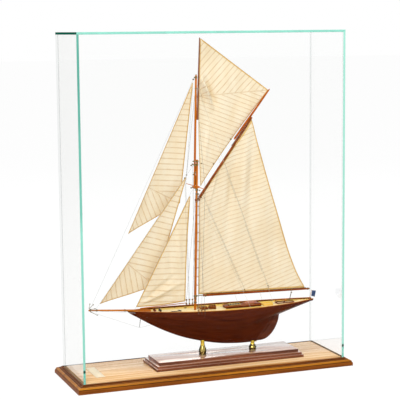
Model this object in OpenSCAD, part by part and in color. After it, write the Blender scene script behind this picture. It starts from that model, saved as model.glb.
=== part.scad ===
// Model of a gaff-rigged racing cutter on a mahogany plinth, in a glass case on a moulded oak base.
// Millimetres, +Z up. The origin is the centre of the oak base's underside.
// The bow points to -X and the port side to -Y.

/* [Case] */
// Length of the glass case
case_l = 620; // [600:2:660]
// Depth of the glass case
case_d = 174; // [170:2:220]
// Height of the glass case above the oak base
case_h = 748; // [746:1:800]
// Thickness of the glass panels
glass_t = 5; // [4:0.5:6]
// Thickness of the oak base
base_h = 18; // [17:0.5:20]
// How far the oak moulding stands out beyond the glass
base_lip = 15.5; // [12:0.5:20]
// Depth of the groove that the glass stands in
groove_h = 2.5; // [2:0.5:4]

/* [Stand] */
// Length of the plinth at its foot
plinth_l = 357; // [330:1:380]
// Width of the plinth at its foot
plinth_w = 100; // [84:1:112]
// Height of the plinth
plinth_h = 17.6; // [14:0.1:17.6]
// Place of the plinth's middle along the base
plinth_x = 47; // [40:1:50]
// Widest diameter of a brass pedestal
pedestal_d = 19; // [14:0.5:22]

/* [Ship] */
// Thickness of the hull planking
plank_t = 2; // [1.5:0.1:2.2]
// Thickness of the keel backbone
keel_t = 4; // [3.6:0.1:4]
// Height of the rail above the deck
bulwark_h = 3; // [2.5:0.1:3.5]
// Diameter of the lower mast at the deck
mast_d = 5; // [4.4:0.1:5.4]
// Diameter of the topmast at its heel
topmast_d = 3.8; // [3:0.1:4]
// Thickness of the sailcloth
cloth_t = 0.6; // [0.4:0.1:0.8]
// Diameter of the standing rigging
wire_d = 0.6; // [0.4:0.05:0.8]
// Diameter of the running rigging
rope_d = 0.5; // [0.4:0.05:0.7]

/* [Hidden] */
$fn = 32;

// Gap between neighbouring pieces that don't touch
gap = 0.3;
// Levels of the stand
floor_z = base_h;
plinth_top = base_h + plinth_h;

// Fair curve through [x, value] points, as a cubic between each pair
function slope(p, i) =
    let (a = max(i - 1, 0), b = min(i + 1, len(p) - 1))
    (p[b][1] - p[a][1]) / (p[b][0] - p[a][0]);
function span_of(p, x, i = 0) = (i >= len(p) - 2 || x < p[i + 1][0]) ? i : span_of(p, x, i + 1);
function fair(p, x) =
    let (i = span_of(p, x), h = p[i + 1][0] - p[i][0], t = (x - p[i][0]) / h)
    (2 * t ^ 3 - 3 * t ^ 2 + 1) * p[i][1] + (t ^ 3 - 2 * t ^ 2 + t) * h * slope(p, i)
    + (3 * t ^ 2 - 2 * t ^ 3) * p[i + 1][1] + (t ^ 3 - t ^ 2) * h * slope(p, i + 1);
function spread(a, b, n) = [for (i = [0:n]) a + (b - a) * i / n];
function clamp(v, lo, hi) = min(max(v, lo), hi);

// Lines of the hull: stem, heel of the keel, head of the sternpost and end of the counter
bow_x = -181;
heel_x = 124;
post_x = 168;
stern_x = 268;
heel_z = 54;
post_z = 106.5;
keel_line = [[-182, 149], [-176, 143.9], [-160, 134.4], [-130, 116.4], [-95, 98], [-55, 81], [-10, 67.5],
    [35, 58], [75, 54], [100, 53.2], [124, 54]];
bilge_line = [[-182, 149], [-150, 129], [-110, 110], [-60, 92], [0, 80], [50, 76], [100, 80], [140, 93],
    [168, 106.5], [200, 117.3], [235, 127.6], [268, 137.2]];
beam_line = [[-182, 2.5], [-150, 15], [-110, 27], [-60, 36.5], [0, 41.5], [60, 43], [120, 40], [180, 32],
    [230, 20.5], [268, 8]];
full_line = [[-182, 1.4], [-100, 1.9], [0, 2.6], [100, 2.7], [180, 2.3], [268, 2]];
flare_line = [[-182, 1.1], [-100, 1.25], [0, 1.35], [100, 1.3], [180, 0.85], [268, 0.6]];
low_x = 140;
low_z = 140.3;
function rail_z(x) = low_z + (x < low_x ? 10.7 * ((low_x - x) / 322) ^ 2 : 2.7 * ((x - low_x) / 132) ^ 2);
function deck_z(x) = rail_z(x) - bulwark_h;
function beam(x) = fair(beam_line, x);
function bilge_z(x) = fair(bilge_line, x);
function bottom_z(x) =
    x < heel_x ? fair(keel_line, x)
    : x < post_x ? min(heel_z + (x - heel_x) * (post_z - heel_z) / (post_x - heel_x), bilge_z(x))
    : bilge_z(x);
cheek_line = [[-182, 0.3], [-60, 1.5], [60, 1.5], [124, 0.5], [168, 0.4], [268, 0.4]];
function keel_half(x) = keel_t / 2 + fair(cheek_line, x);
function hull_y(x, z) =
    let (s = clamp((z - bilge_z(x)) / (rail_z(x) - bilge_z(x)), 0, 1),
        c = beam(x) * (1 - (1 - s) ^ fair(full_line, x)) ^ fair(flare_line, x))
    sqrt(c ^ 2 + keel_half(x) ^ 2);

// Lines of the rig
mast_rake = 0.0243;
function mast_x(z) = -21.8 + mast_rake * (z - 150);
topmast_lead = 5.3;
function topmast_x(z) = mast_x(z) - topmast_lead;
function at(x, z, y = 0) = [x, y, z];
hounds_z = 424;
cap_z = 478;
topmast_heel_z = 420;
topmast_top_z = 669;
bowsprit_tip = at(-271.5, 159.4);
bowsprit_heel = at(-128, 147.6);
boom_fore = at(-2, 171.6);
boom_aft = at(263, 166.2);
gaff_throat = at(-11.3, 393.4);
gaff_peak = at(119.2, 571.2);
yard_foot = at(-12.2, 570);
yard_head = at(-5.4, 751.5);
jackyard_low = at(75.4, 522.7);
jackyard_high = at(163, 634.3);
club_fore = at(-152.6, 154);
club_aft = at(-43.8, 157.4);
shroud_x = [-28.3, -21, -13.5];
runner_x = [98, 158];

// The rudder stock runs parallel to the sternpost, just aft of it
rudder_t = 3.4;
stock_r = 1.2;
post_dir = (at(post_x, post_z) - at(heel_x, heel_z)) / norm(at(post_x, post_z) - at(heel_x, heel_z));
stock_foot = at(heel_x, heel_z) + at(post_dir[2], -post_dir[0]) * (rudder_t / 2 + 0.4) + post_dir * 0.5;
function along_stock(d) = stock_foot + post_dir * d;
stock_top = along_stock(121.5);

module rod(a, b, d1, d2 = 0) {
    v = b - a;
    l = norm(v);
    end_d = d2 == 0 ? d1 : d2;
    translate(a)
        rotate([0, acos(v[2] / l), atan2(v[1], v[0])])
            cylinder(h = l, d1 = d1, d2 = end_d);
}

// A flat board standing in the fore-and-aft plane, t thick and centred on y
module upright(points, t, y = 0) {
    translate([0, y + t / 2, 0])
        rotate([90, 0, 0])
            linear_extrude(t)
                polygon(points);
}

module both_sides() {
    children();
    mirror([0, 1, 0]) children();
}

// ---- Case ----
inner_l = case_l - 2 * glass_t;
inner_d = case_d - 2 * glass_t;
groove_gap = 0.6;

module baseboard() {
    color("burlywood")
        translate([-case_l / 2 - groove_gap, -case_d / 2 - groove_gap, 0])
            cube([case_l + 2 * groove_gap, case_d + 2 * groove_gap, base_h - groove_h]);
}

module floor_panel() {
    color("peachpuff")
        translate([-inner_l / 2 + groove_gap, -inner_d / 2 + groove_gap, base_h - groove_h])
            cube([inner_l - 2 * groove_gap, inner_d - 2 * groove_gap, groove_h]);
}

// Ogee section of the base moulding: out from the board, and up
moulding_w = base_lip - groove_gap;
ogee = concat(
    [[0, 0], [moulding_w, 0], [moulding_w, 4.5]],
    [for (a = [0:15:75]) [moulding_w - 0.8 - 3.4 * (1 - cos(a)), 5 + 3.4 * sin(a)]],
    [[moulding_w - 4.6, 9.2], [moulding_w - 4.6, 10]],
    [for (a = [75:-15:0]) [moulding_w - 9 + 4 * sin(a), 14 - 4 * cos(a) + 0.2]],
    [[moulding_w - 9, 15], [moulding_w - 9.8, 15.4], [moulding_w - 9.8, base_h - 0.9],
        [moulding_w - 10.6, base_h], [0, base_h]]);

module moulding_strip(l, d) {
    reach = l / 2 + base_lip + 2;
    intersection() {
        translate([-reach, -d / 2 - groove_gap, 0])
            rotate([90, 0, 90])
                linear_extrude(2 * reach)
                    mirror([1, 0])
                        polygon(ogee);
        linear_extrude(base_h)
            polygon([[-l / 2 - groove_gap, -d / 2 - groove_gap], [l / 2 + groove_gap, -d / 2 - groove_gap],
                [l / 2 + base_lip, -d / 2 - base_lip], [-l / 2 - base_lip, -d / 2 - base_lip]]);
    }
}

module base_moulding() {
    color("peru") {
        moulding_strip(case_l, case_d);
        rotate([0, 0, 90]) moulding_strip(case_d, case_l);
        rotate([0, 0, 180]) moulding_strip(case_l, case_d);
        rotate([0, 0, 270]) moulding_strip(case_d, case_l);
    }
}

// Near corner and size of the nameplate
nameplate_at = [-269, -44];
nameplate_size = [20, 88, 1];

module nameplate() {
    color("cornsilk")
        translate([nameplate_at[0], nameplate_at[1], floor_z])
            cube(nameplate_size);
}

glass_z = base_h - groove_h;
wall_h = case_h + groove_h - glass_t;

module glass_sheet(x, y, z, size) {
    color("lightcyan", 0.3)
        translate([x - size[0] / 2, y - size[1] / 2, z])
            cube(size);
}

module front_glass() glass_sheet(0, -case_d / 2 + glass_t / 2, glass_z, [inner_l, glass_t, wall_h]);
module back_glass() glass_sheet(0, case_d / 2 - glass_t / 2, glass_z, [inner_l, glass_t, wall_h]);
module left_glass() glass_sheet(-case_l / 2 + glass_t / 2, 0, glass_z, [glass_t, case_d, wall_h]);
module right_glass() glass_sheet(case_l / 2 - glass_t / 2, 0, glass_z, [glass_t, case_d, wall_h]);
module top_glass() glass_sheet(0, 0, base_h + case_h - glass_t, [case_l, case_d, glass_t]);

// ---- Stand ----
screw_d = 2.4;
screw_head_d = 5;
pedestal_x = [-4.8, 118.5];
// How far in each step of the plinth stands, and where it starts, as a part of the height
plinth_steps = [[0, 0], [3.2, 0.33], [9.5, 0.62]];

module screw_hole(x, z, h, d) {
    translate([x, 0, z]) cylinder(h = h, d = d);
}

module plinth() {
    color("saddlebrown")
        difference() {
            for (step = plinth_steps)
                translate([plinth_x, 0, floor_z + step[1] * plinth_h])
                    linear_extrude((1 - step[1]) * plinth_h)
                        square([plinth_l - 2 * step[0], plinth_w - 2 * step[0]], center = true);
            // The upper part of each lower step is cut back to the next step's outline
            for (i = [0, 1])
                translate([plinth_x, 0, floor_z + plinth_steps[i + 1][1] * plinth_h])
                    linear_extrude(plinth_h)
                        difference() {
                            square([plinth_l + 2, plinth_w + 2], center = true);
                            square([plinth_l, plinth_w] - 2 * plinth_steps[i + 1][0] * [1, 1],
                                center = true);
                        }
            for (x = pedestal_x) {
                screw_hole(x, floor_z - 1, plinth_h + 2, screw_d + 0.2);
                screw_hole(x, floor_z - 1, 5, screw_head_d + 1);
            }
        }
}

// Turned profile of a pedestal of height h: a round foot, a bell and a narrow neck
function pedestal_profile(h) = concat(
    [[screw_d / 2 + 0.1, 0], [6.6, 0], [7.2, 0.9], [6.4, 1.8], [5.6, 2.4]],
    [for (a = [-60:15:60]) [pedestal_d / 2 - 3 + 3 * cos(a), 6.2 + 3.6 * sin(a)]],
    [for (t = [0.2:0.2:1]) [3.9 + 4.2 * (1 - t) ^ 2.2, 9.6 + (h - 12) * t]],
    [[4.6, h - 2], [4.6, h + 4], [screw_d / 2 + 0.1, h + 4]]);

module pedestals() {
    color("gold")
        for (x = pedestal_x)
            difference() {
                translate([x, 0, plinth_top])
                    rotate_extrude()
                        polygon(pedestal_profile(bottom_z(x) - plinth_top));
                upright([for (u = [-10, 10]) [x + u, bottom_z(x) + u * (bottom_z(x + 1) - bottom_z(x))],
                    [x + 10, 90], [x - 10, 90]], 30);
            }
}

module pedestal_screws() {
    color("silver")
        for (x = pedestal_x) {
            screw_hole(x, floor_z + 2, 2, screw_head_d);
            screw_hole(x, floor_z + 4, bottom_z(x) + 7 - floor_z - 4, screw_d);
        }
}

// ---- Hull ----
levels = 12;
station_xs = concat(spread(bow_x, heel_x, 28), [for (i = [1:6]) heel_x + (post_x - heel_x) * i / 6],
    [for (i = [1:9]) post_x + (stern_x - post_x) * i / 9]);
stations = len(station_xs) - 1;

function station_x(i) = station_xs[i];
function level_z(x, j) = bottom_z(x) + (rail_z(x) - bottom_z(x)) * j / levels;
function outer_point(i, j) =
    let (x = station_x(i), z = level_z(x, j))
    [x, -hull_y(x, z), z];
function inner_point(i, j) =
    let (x = station_x(i), z = level_z(x, j), y = hull_y(x, z), u = j / levels)
    [x, -max(keel_t / 2 + 0.02, y - plank_t * clamp(y / 8, 0.25, 1)), z + 0.9 * plank_t * (1 - u)];

// One side's planking: a closed shell between the outer and the inner surface
module planking() {
    row = levels + 1;
    count = (stations + 1) * row;
    function o(i, j) = i * row + j;
    function n(i, j) = count + i * row + j;
    shell = [
        for (i = [0:stations - 1]) for (j = [0:levels - 1])
            each [[o(i, j), o(i, j + 1), o(i + 1, j)], [o(i + 1, j), o(i, j + 1), o(i + 1, j + 1)],
                [n(i, j), n(i + 1, j), n(i, j + 1)], [n(i + 1, j), n(i + 1, j + 1), n(i, j + 1)]]
    ];
    edges = [
        for (i = [0:stations - 1])
            each [[o(i, 0), o(i + 1, 0), n(i, 0)], [n(i, 0), o(i + 1, 0), n(i + 1, 0)],
                [o(i, levels), n(i, levels), o(i + 1, levels)],
                [n(i, levels), n(i + 1, levels), o(i + 1, levels)]]
    ];
    ends = [
        for (j = [0:levels - 1])
            each [[o(0, j), n(0, j), o(0, j + 1)], [o(0, j + 1), n(0, j), n(0, j + 1)],
                [o(stations, j), o(stations, j + 1), n(stations, j)],
                [o(stations, j + 1), n(stations, j + 1), n(stations, j)]]
    ];
    polyhedron(
        points = concat(
            [for (i = [0:stations]) for (j = [0:levels]) outer_point(i, j)],
            [for (i = [0:stations]) for (j = [0:levels]) inner_point(i, j)]),
        faces = concat(shell, edges, ends));
}

module port_planking() {
    color("maroon") planking();
}

module starboard_planking() {
    color("maroon") mirror([0, 1, 0]) planking();
}

deck_t = 1.6;
// Height of the mast's heel in the backbone
heel_step_z = 92;

module keel() {
    xs = spread(bow_x - 1, heel_x, 40);
    counter = spread(post_x, stern_x, 14);
    color("maroon")
        difference() {
            upright(concat(
                [for (x = xs) [x, bottom_z(x)]],
                [for (x = counter) [x, bottom_z(x)]],
                [for (x = [stern_x:-10:bow_x]) [x, deck_z(x) - deck_t - gap]]), keel_t);
            rod(stock_foot, stock_top, 2 * stock_r + 0.16);
            rod(at(mast_x(heel_step_z), heel_step_z), at(mast_x(160), 160), mast_d + 0.2);
            for (x = pedestal_x)
                screw_hole(x, bottom_z(x) - 2, 10, screw_d);
        }
}

transom_zs = spread(level_z(stern_x, 0), level_z(stern_x, levels), 8);
transom_t = 1.6;

module transom() {
    color("maroon")
        translate([stern_x + 0.1, 0, 0])
            rotate([90, 0, 90])
                linear_extrude(transom_t)
                    polygon(concat(
                        [for (z = transom_zs) [-hull_y(stern_x, z), z]],
                        [for (i = [len(transom_zs) - 1:-1:0])
                            [hull_y(stern_x, transom_zs[i]), transom_zs[i]]]));
}

// Half-outline of the space inside the planking at one station
function frame_outline(x) =
    let (low = bilge_z(x) + 7, high = deck_z(x) - deck_t - 2 * gap)
    concat(
        [for (z = spread(low, high, 8)) [-(hull_y(x, z - 2.2) - plank_t - 2 * gap), z]],
        [[-keel_t / 2 - 0.1, high], [-keel_t / 2 - 0.1, low]]);

module bulkheads() {
    color("burlywood")
        both_sides()
            for (x = [-140:35:210])
                translate([x - 1, 0, 0])
                    rotate([90, 0, 90])
                        linear_extrude(2)
                            polygon(frame_outline(x));
}

// Plan outline of the rail at a distance in from the planking's outer face, as a closed loop
function plan(inset, from, to, n = 40) = concat(
    [for (x = spread(from, to, n)) [x, -(beam(x) - inset)]],
    [for (x = spread(to, from, n)) [x, beam(x) - inset]]);

// Half-width of the deck, inside the planking at the level of the deck's underside
function deck_half(x) = hull_y(x, deck_z(x) - deck_t) - plank_t - 0.25;

// A band that follows the sheer: from h0 to h1 above the rail
module sheer_band(h0, h1, half_w) {
    xs = spread(bow_x - 4, stern_x + 4, 24);
    upright(concat(
        [for (x = xs) [x, rail_z(x) + h0]],
        [for (i = [len(xs) - 1:-1:0]) [xs[i], rail_z(xs[i]) + h1]]), 2 * half_w);
}

module deck() {
    deck_xs = spread(bow_x + 11, stern_x - 0.4, 38);
    color("goldenrod")
        difference() {
            intersection() {
                translate([0, 0, 120])
                    linear_extrude(60)
                        polygon(concat(
                            [for (x = deck_xs) [x, -deck_half(x)]],
                            [for (i = [len(deck_xs) - 1:-1:0]) [deck_xs[i], deck_half(deck_xs[i])]]));
                sheer_band(-bulwark_h - deck_t, -bulwark_h, 60);
            }
            rod(at(mast_x(120), 120), at(mast_x(160), 160), mast_d + 0.2);
            rod(stock_foot, stock_top, 2 * stock_r + 0.8);
        }
}

module cap_rail() {
    color("sienna")
        difference() {
            intersection() {
                translate([0, 0, 120])
                    linear_extrude(60)
                        difference() {
                            polygon(plan(-0.7, bow_x - 1, stern_x + 1.6));
                            polygon(plan(plank_t + 0.5, bow_x + 5, stern_x - 1));
                        }
                sheer_band(0.03, 1.1, 60);
            }
            rod(bowsprit_heel, bowsprit_tip, 5.2);
        }
}

module rudder_gudgeons() {
    color("gold")
        difference() {
            upright([[heel_x - 0.8, heel_z - 1.3], [heel_x + 4.6, heel_z - 1.3],
                [heel_x + 4.6, heel_z - 0.1], [heel_x - 0.8, heel_z - 0.1]], keel_t);
            rod(along_stock(-0.2), stock_top, 2 * stock_r + 0.16);
        }
}

// ---- Rudder ----
module rudder_blade() {
    a = along_stock(4.4);
    b = along_stock(67.6);
    color("brown")
        difference() {
            union() {
                upright([[a[0], a[2]], [a[0] + 4, 54.9], [142, 55.4], [152, 58.2], [162, 64.8],
                    [171, 74.6], [178, 86.4], [183, 98.6], [185.2, 109.6],
                    [b[0] + 2, b[2] + 0.6], [b[0], b[2]]], rudder_t);
                rod(a, b, rudder_t);
            }
            rod(stock_foot, stock_top, 2 * stock_r);
        }
}

module rudder_stock() {
    color("gold") rod(stock_foot, stock_top, 2 * stock_r);
}

module tiller() {
    color("sienna")
        difference() {
            union() {
                rod(along_stock(116.5), along_stock(121), 4.4);
                rod(along_stock(118.8), at(172, 145.6), 1.9, 1.3);
            }
            rod(stock_foot, stock_top, 2 * stock_r);
        }
}

// ---- Deck fittings ----
module block_on_deck(x0, x1, half_w, h, y = 0, lift = 0) {
    z = max(deck_z(x0), deck_z(x1)) + 0.05 + lift;
    translate([x0, y - half_w, z])
        cube([x1 - x0, 2 * half_w, h]);
}

module bitts() {
    color("firebrick") {
        for (y = [-3.9, 3.9])
            block_on_deck(-120.5, -118, 1.1, 6, y);
        block_on_deck(-118, -116.6, 6.2, 1.8, 0, 2.6);
    }
}

module windlass() {
    x = -106;
    z = deck_z(x - 2);
    color("dimgray") {
        for (y = [-4.6, 4.6])
            block_on_deck(x - 1.6, x + 1.6, 0.7, 5, y);
        rod(at(x, z + 3.4, -3.8), at(x, z + 3.4, 3.8), 3.4);
        for (s = [-1, 1])
            rod(at(x, z + 3.4, s * 5.4), at(x, z + 3.4, s * 8.4), 3, 2.2);
    }
}

module anchor() {
    y = -16;
    z = deck_z(-85) + 1.3;
    color("black")
        union() {
            rod([-83, y, z], [-62, y, z], 1.4);
            rod([-83, y - 5, z], [-83, y + 5, z], 1.3);
            rod([-62, y, z], [-65, y - 6, z], 1.3);
            rod([-62, y, z], [-65, y + 6, z], 1.3);
        }
}

module fore_hatch() {
    color("brown") {
        block_on_deck(-8, 7, 7, 3.4);
        block_on_deck(-8.6, 7.6, 7.6, 0.9, 0, 3.4);
    }
}

// A small house with a gabled glass top, standing at height z
module gabled(x0, x1, half_w, h, rise, z) {
    translate([x0, 0, z])
        rotate([90, 0, 90])
            linear_extrude(x1 - x0)
                polygon([[-half_w, 0], [half_w, 0], [half_w, h], [0, h + rise], [-half_w, h]]);
}

module fore_skylight() {
    color("sienna") gabled(12, 27, 5.5, 2.6, 2.4, deck_z(12) + 0.05);
}

trunk_h = 3.6;
roof_t = 0.9;
roof_z = deck_z(49.2) + 0.1 + trunk_h + roof_t;

module cabin_trunk() {
    color("sienna") {
        block_on_deck(50, 136, 12.5, trunk_h + 0.05 + deck_z(49.2) - deck_z(50));
        block_on_deck(49.2, 136.8, 13.3, roof_t, 0, trunk_h + 0.05);
    }
}

module skylight() {
    color("lightslategray") gabled(60, 86, 6.5, 1.6, 2.4, roof_z + 0.05);
}

// Upturned boat: the overlap of a side view, a plan and a cross-section
module tender() {
    x = 115;
    y = 4.6;
    z = roof_z + 0.1;
    color("rosybrown")
        intersection() {
            upright(concat([for (u = spread(-18, 18, 12)) [x + u, z + 4.6 * sqrt(1 - (u / 18.6) ^ 2)]],
                [[x + 19, z], [x - 19, z]]), 20, y);
            translate([x, y, z])
                linear_extrude(6)
                    polygon([for (a = [0:15:345]) [19 * cos(a), 6.4 * sin(a)]]);
            translate([x - 21, y, z])
                rotate([90, 0, 90])
                    linear_extrude(42)
                        polygon([for (a = [0:15:180]) [6.6 * cos(a), 4.8 * sin(a)]]);
        }
}

module companion() {
    color("sienna")
        translate([122, -11.5, roof_z + 0.05])
            cube([13, 8.6, 2.2]);
}

module coaming(x0, x1, half_w, h) {
    r = half_w * 0.6;
    z = max(deck_z(x0), deck_z(x1 + half_w - r)) + 0.05;
    translate([0, 0, z])
        linear_extrude(h)
            difference() {
                union() {
                    translate([x0, -half_w]) square([x1 - x0 - r, 2 * half_w]);
                    translate([x1 - r, 0]) circle(half_w);
                }
                translate([x0 + 1.2, -half_w + 1.2]) square([x1 - x0 - r - 1.2, 2 * half_w - 2.4]);
                translate([x1 - r, 0]) circle(half_w - 1.2);
            }
}

module cockpit_coaming() {
    color("gold") coaming(142, 166, 11, 3.4);
}

module helm_coaming() {
    color("sienna") coaming(178, 220, 9, 2.2);
}

module cleats() {
    color("dimgray")
        both_sides()
            for (x = [-150, -60, 75, 188]) {
                y = beam(x) - plank_t - 4;
                block_on_deck(x - 0.8, x + 0.8, 0.5, 1.2, -y);
                block_on_deck(x - 2.6, x + 2.6, 0.5, 0.8, -y, 1.2);
            }
}

staff_foot = at(263, deck_z(263) + 0.1);
staff_top = at(269.2, 162.8);

module ensign_staff() {
    color("sienna") rod(staff_foot, staff_top, 0.9);
}

module ensign() {
    color("midnightblue")
        upright([[270.3, 161.7], [280, 160], [277.2, 145.4], [268.2, 148.6]], 0.4);
}

// ---- Spars ----
module bowsprit() {
    color("chocolate") rod(bowsprit_heel, bowsprit_tip, 4.6, 3.6);
}

sprit_v = bowsprit_tip - bowsprit_heel;
function on_sprit(t) = bowsprit_heel + sprit_v * t;
sprit_tilt = 90 - atan2(sprit_v[2], -sprit_v[0]);

// A ring round a raked spar: centre, lean towards -X, bore and outer diameters, height
module ring(centre, lean, bore_d, d, h) {
    translate(centre)
        rotate([0, -lean, 0])
            translate([0, 0, -h / 2])
                difference() {
                    cylinder(h = h, d = d);
                    translate([0, 0, -1]) cylinder(h = h + 2, d = bore_d);
                }
}

module bowsprit_irons() {
    color("dimgray") {
        ring(on_sprit(0.975), sprit_tilt, 4, 5.6, 2);
        ring(on_sprit(0.87), sprit_tilt, 4.3, 5.8, 1.6);
        ring(on_sprit(0.42), sprit_tilt, 4.7, 6, 1.6);
    }
}

striker_top = at(-152.4, 129.2);
striker_end = at(-154.8, 111.2);

module dolphin_striker() {
    color("dimgray") rod(striker_top, striker_end, 1.4, 1);
}

module lower_mast() {
    foot_z = heel_step_z + 0.1;
    top_z = cap_z + 3;
    color("chocolate")
        rod(at(mast_x(foot_z), foot_z), at(mast_x(top_z), top_z), mast_d, mast_d - 0.5);
}

module topmast() {
    color("chocolate")
        rod(at(topmast_x(topmast_heel_z), topmast_heel_z), at(topmast_x(topmast_top_z), topmast_top_z),
            topmast_d, topmast_d - 1);
}

rake_deg = atan(mast_rake);

module mast_irons() {
    hole = mast_d + 0.1;
    cap_mid = mast_x(cap_z) - topmast_lead / 2;
    color("dimgray") {
        ring(at(mast_x(157), 157), -rake_deg, hole, hole + 2, 3);
        ring(at(mast_x(386), 386), -rake_deg, hole, hole + 1.4, 1.2);
        ring(at(mast_x(412), 412), -rake_deg, hole, hole + 1.6, 1.6);
        translate([cap_mid, 0, cap_z])
            difference() {
                translate([-topmast_lead / 2 - 3, -3.2, -1]) cube([topmast_lead + 6, 6.4, 2]);
                translate([topmast_lead / 2, 0, -3]) cylinder(h = 6, d = hole + 0.1);
                translate([-topmast_lead / 2, 0, -3]) cylinder(h = 6, d = topmast_d + 0.3);
            }
    }
    color("goldenrod")
        translate([topmast_x(topmast_top_z) + 0.1, 0, topmast_top_z + 0.1])
            cylinder(h = 1.6, d1 = 3.6, d2 = 2);
}

crosstree_reach = 61;

module crosstrees() {
    z = hounds_z - 5;
    x = mast_x(z);
    color("orangered") {
        difference() {
            union() {
                for (s = [-1, 1])
                    translate([x - 9.5, s * 3.6 - 0.8, z - 1.4]) cube([14.5, 1.6, 2.8]);
                translate([x - 10.4, -4.4, z + 1.4]) cube([16, 8.8, 1]);
            }
            translate([x, 0, z - 4]) cylinder(h = 10, d = mast_d + 0.3);
            translate([x - topmast_lead, 0, z - 4]) cylinder(h = 10, d = topmast_d + 0.4);
        }
        for (s = [-1, 1])
            rod([x - 1.5, s * 4.45, z + 1.9], [x - 3.5, s * crosstree_reach, z + 2.2], 1.9, 1.2);
    }
}

boom_d = 5.4;
boom_taper = 1.2;
gaff_d = 5.4;
yard_d = 4.6;
jackyard_d = 3.8;

module boom() {
    color("brown") rod(boom_fore, boom_aft, boom_d, boom_d - boom_taper);
}

// Band round the boom, at a share t of its length
module boom_band(t, h) {
    bore = boom_d - boom_taper * t + 0.12;
    tilt = 90 + atan2(boom_fore[2] - boom_aft[2], boom_aft[0] - boom_fore[0]);
    ring(boom_fore + (boom_aft - boom_fore) * t, -tilt, bore, bore + 1.1, h);
}

// Gooseneck on the mast, and the bands along the boom
module boom_irons() {
    z = 171.7;
    x = mast_x(z);
    color("dimgray") {
        difference() {
            union() {
                translate([x, 0, z - 2]) cylinder(h = 4, d = mast_d + 2.4);
                rod(at(x + 3, z), at(-2.1, z), 1.8);
            }
            rod(at(mast_x(150), 150), at(mast_x(190), 190), mast_d + 0.3);
        }
        boom_band(0.02, 2.4);
        boom_band(0.825, 1.8);
        boom_band(0.985, 1.8);
    }
}

// Gaff with its jaws round the mast
module gaff() {
    z = gaff_throat[2] - 3;
    x = mast_x(z);
    color("firebrick")
        difference() {
            union() {
                rod(at(-10.2, 394.9), gaff_peak, gaff_d, gaff_d - 1.4);
                translate([x, 0, z - 1.6]) cylinder(h = 3.2, d = mast_d + 3.6);
                translate([x, -2.6, z - 1.6]) cube([7.4, 5.2, 5.6]);
            }
            rod(at(mast_x(370), 370), at(mast_x(410), 410), mast_d + 0.5);
            translate([x - 8, -1.7, z - 4]) cube([8, 3.4, 10]);
        }
}

module topsail_yard() {
    color("sienna") rod(yard_foot, yard_head, yard_d, yard_d / 2);
}

module jackyard() {
    color("chocolate") rod(jackyard_low, jackyard_high, jackyard_d, jackyard_d / 2);
}

hoops = 10;

module mast_hoops() {
    color("peru")
        for (i = [0:hoops - 1]) {
            z = 196 + i * 20;
            translate([mast_x(z) + 1.9, 0, z])
                rotate_extrude()
                    translate([5, 0]) circle(d = 0.8);
        }
}

module club_boom() {
    color("chocolate") rod(club_fore, club_aft, 2.2, 1.8);
}

// ---- Sails: flat plates in the place that the cloth fills ----
gaff_dir = (gaff_peak - gaff_throat) / norm(gaff_peak - gaff_throat);
gaff_side = [gaff_dir[2], 0, -gaff_dir[0]];
function under_gaff(d) = gaff_throat + gaff_dir * d + gaff_side * (gaff_d / 2 + 0.3);

// From the mast's axis to the luff of the mainsail
luff_gap = 7.6;

module mainsail() {
    throat = under_gaff(6);
    peak = under_gaff(214);
    color("wheat")
        upright([[mast_x(178) + luff_gap, 175.4], [251.5, 169.9], [227.5, 214.5], [209, 262],
            [186.7, 334.5], [158, 427], [peak[0], peak[2]], [throat[0], throat[2]],
            [mast_x(384) + luff_gap, 384]], cloth_t);
}

module topsail() {
    color("wheat")
        upright([[-5.1, 422], [68.4, 518.2], [159.2, 632], [-3.7, 749], [-9.2, 570], [-8.6, 500],
            [-6.6, 428]], cloth_t);
}

// A headsail between three corners, turned about its luff by a lean to starboard
module headsail(tack, head, lean, clew) {
    v = head - tack;
    l = norm(v);
    w = clew - tack;
    along = (w * v) / l;
    off = norm(w - v * along / l);
    translate(tack)
        rotate([0, -atan2(v[2], v[0]), 0])
            rotate([lean - 90, 0, 0])
                translate([0, 0, -cloth_t / 2])
                    linear_extrude(cloth_t)
                        polygon([[0, 0], [along, off], [l, 0]]);
}

module staysail() {
    color("wheat") headsail(at(-161.4, 157.6), at(-33, 399), 0, at(-45.7, 160.2));
}

module jib() {
    color("wheat") headsail(at(-245.2, 171.8), at(-41.8, 442.2), 8, at(-112.5, 199.3));
}

module jib_topsail() {
    color("wheat") headsail(at(-177.6, 323.5), at(-23.4, 651.9), 10, at(-49.2, 383));
}

// ---- Rigging ----
deadeye_d = 3;

module shrouds() {
    color("gainsboro")
        both_sides() {
            for (i = [0:2]) {
                x = shroud_x[i];
                foot = [x, -beam(x) + 0.6, rail_z(x)];
                upper = foot + [0, 0.4, 12.5];
                for (h = [3, 12.5])
                    translate(foot + [0, -0.9, h]) rotate([-90, 0, 0]) cylinder(h = 1.8, d = deadeye_d);
                for (u = [-0.8, 0, 0.8])
                    rod(foot + [u, 0, 4.6], foot + [u, 0, 10.9], 0.35);
                if (i != 1)
                    rod(upper + [0, 0, 1.6], [mast_x(408) + (i - 1) * 0.6, -4.1, 408 + 2 * i], wire_d);
            }
            rod([shroud_x[1], -beam(shroud_x[1]) + 0.6, rail_z(shroud_x[1]) + 14.2],
                [mast_x(419) - 3.6, -crosstree_reach - 1, 420.6], wire_d);
            rod([mast_x(419) - 3.6, -crosstree_reach - 1, 422.5],
                [topmast_x(640), -2.4, 640], wire_d);
        }
}

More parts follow.
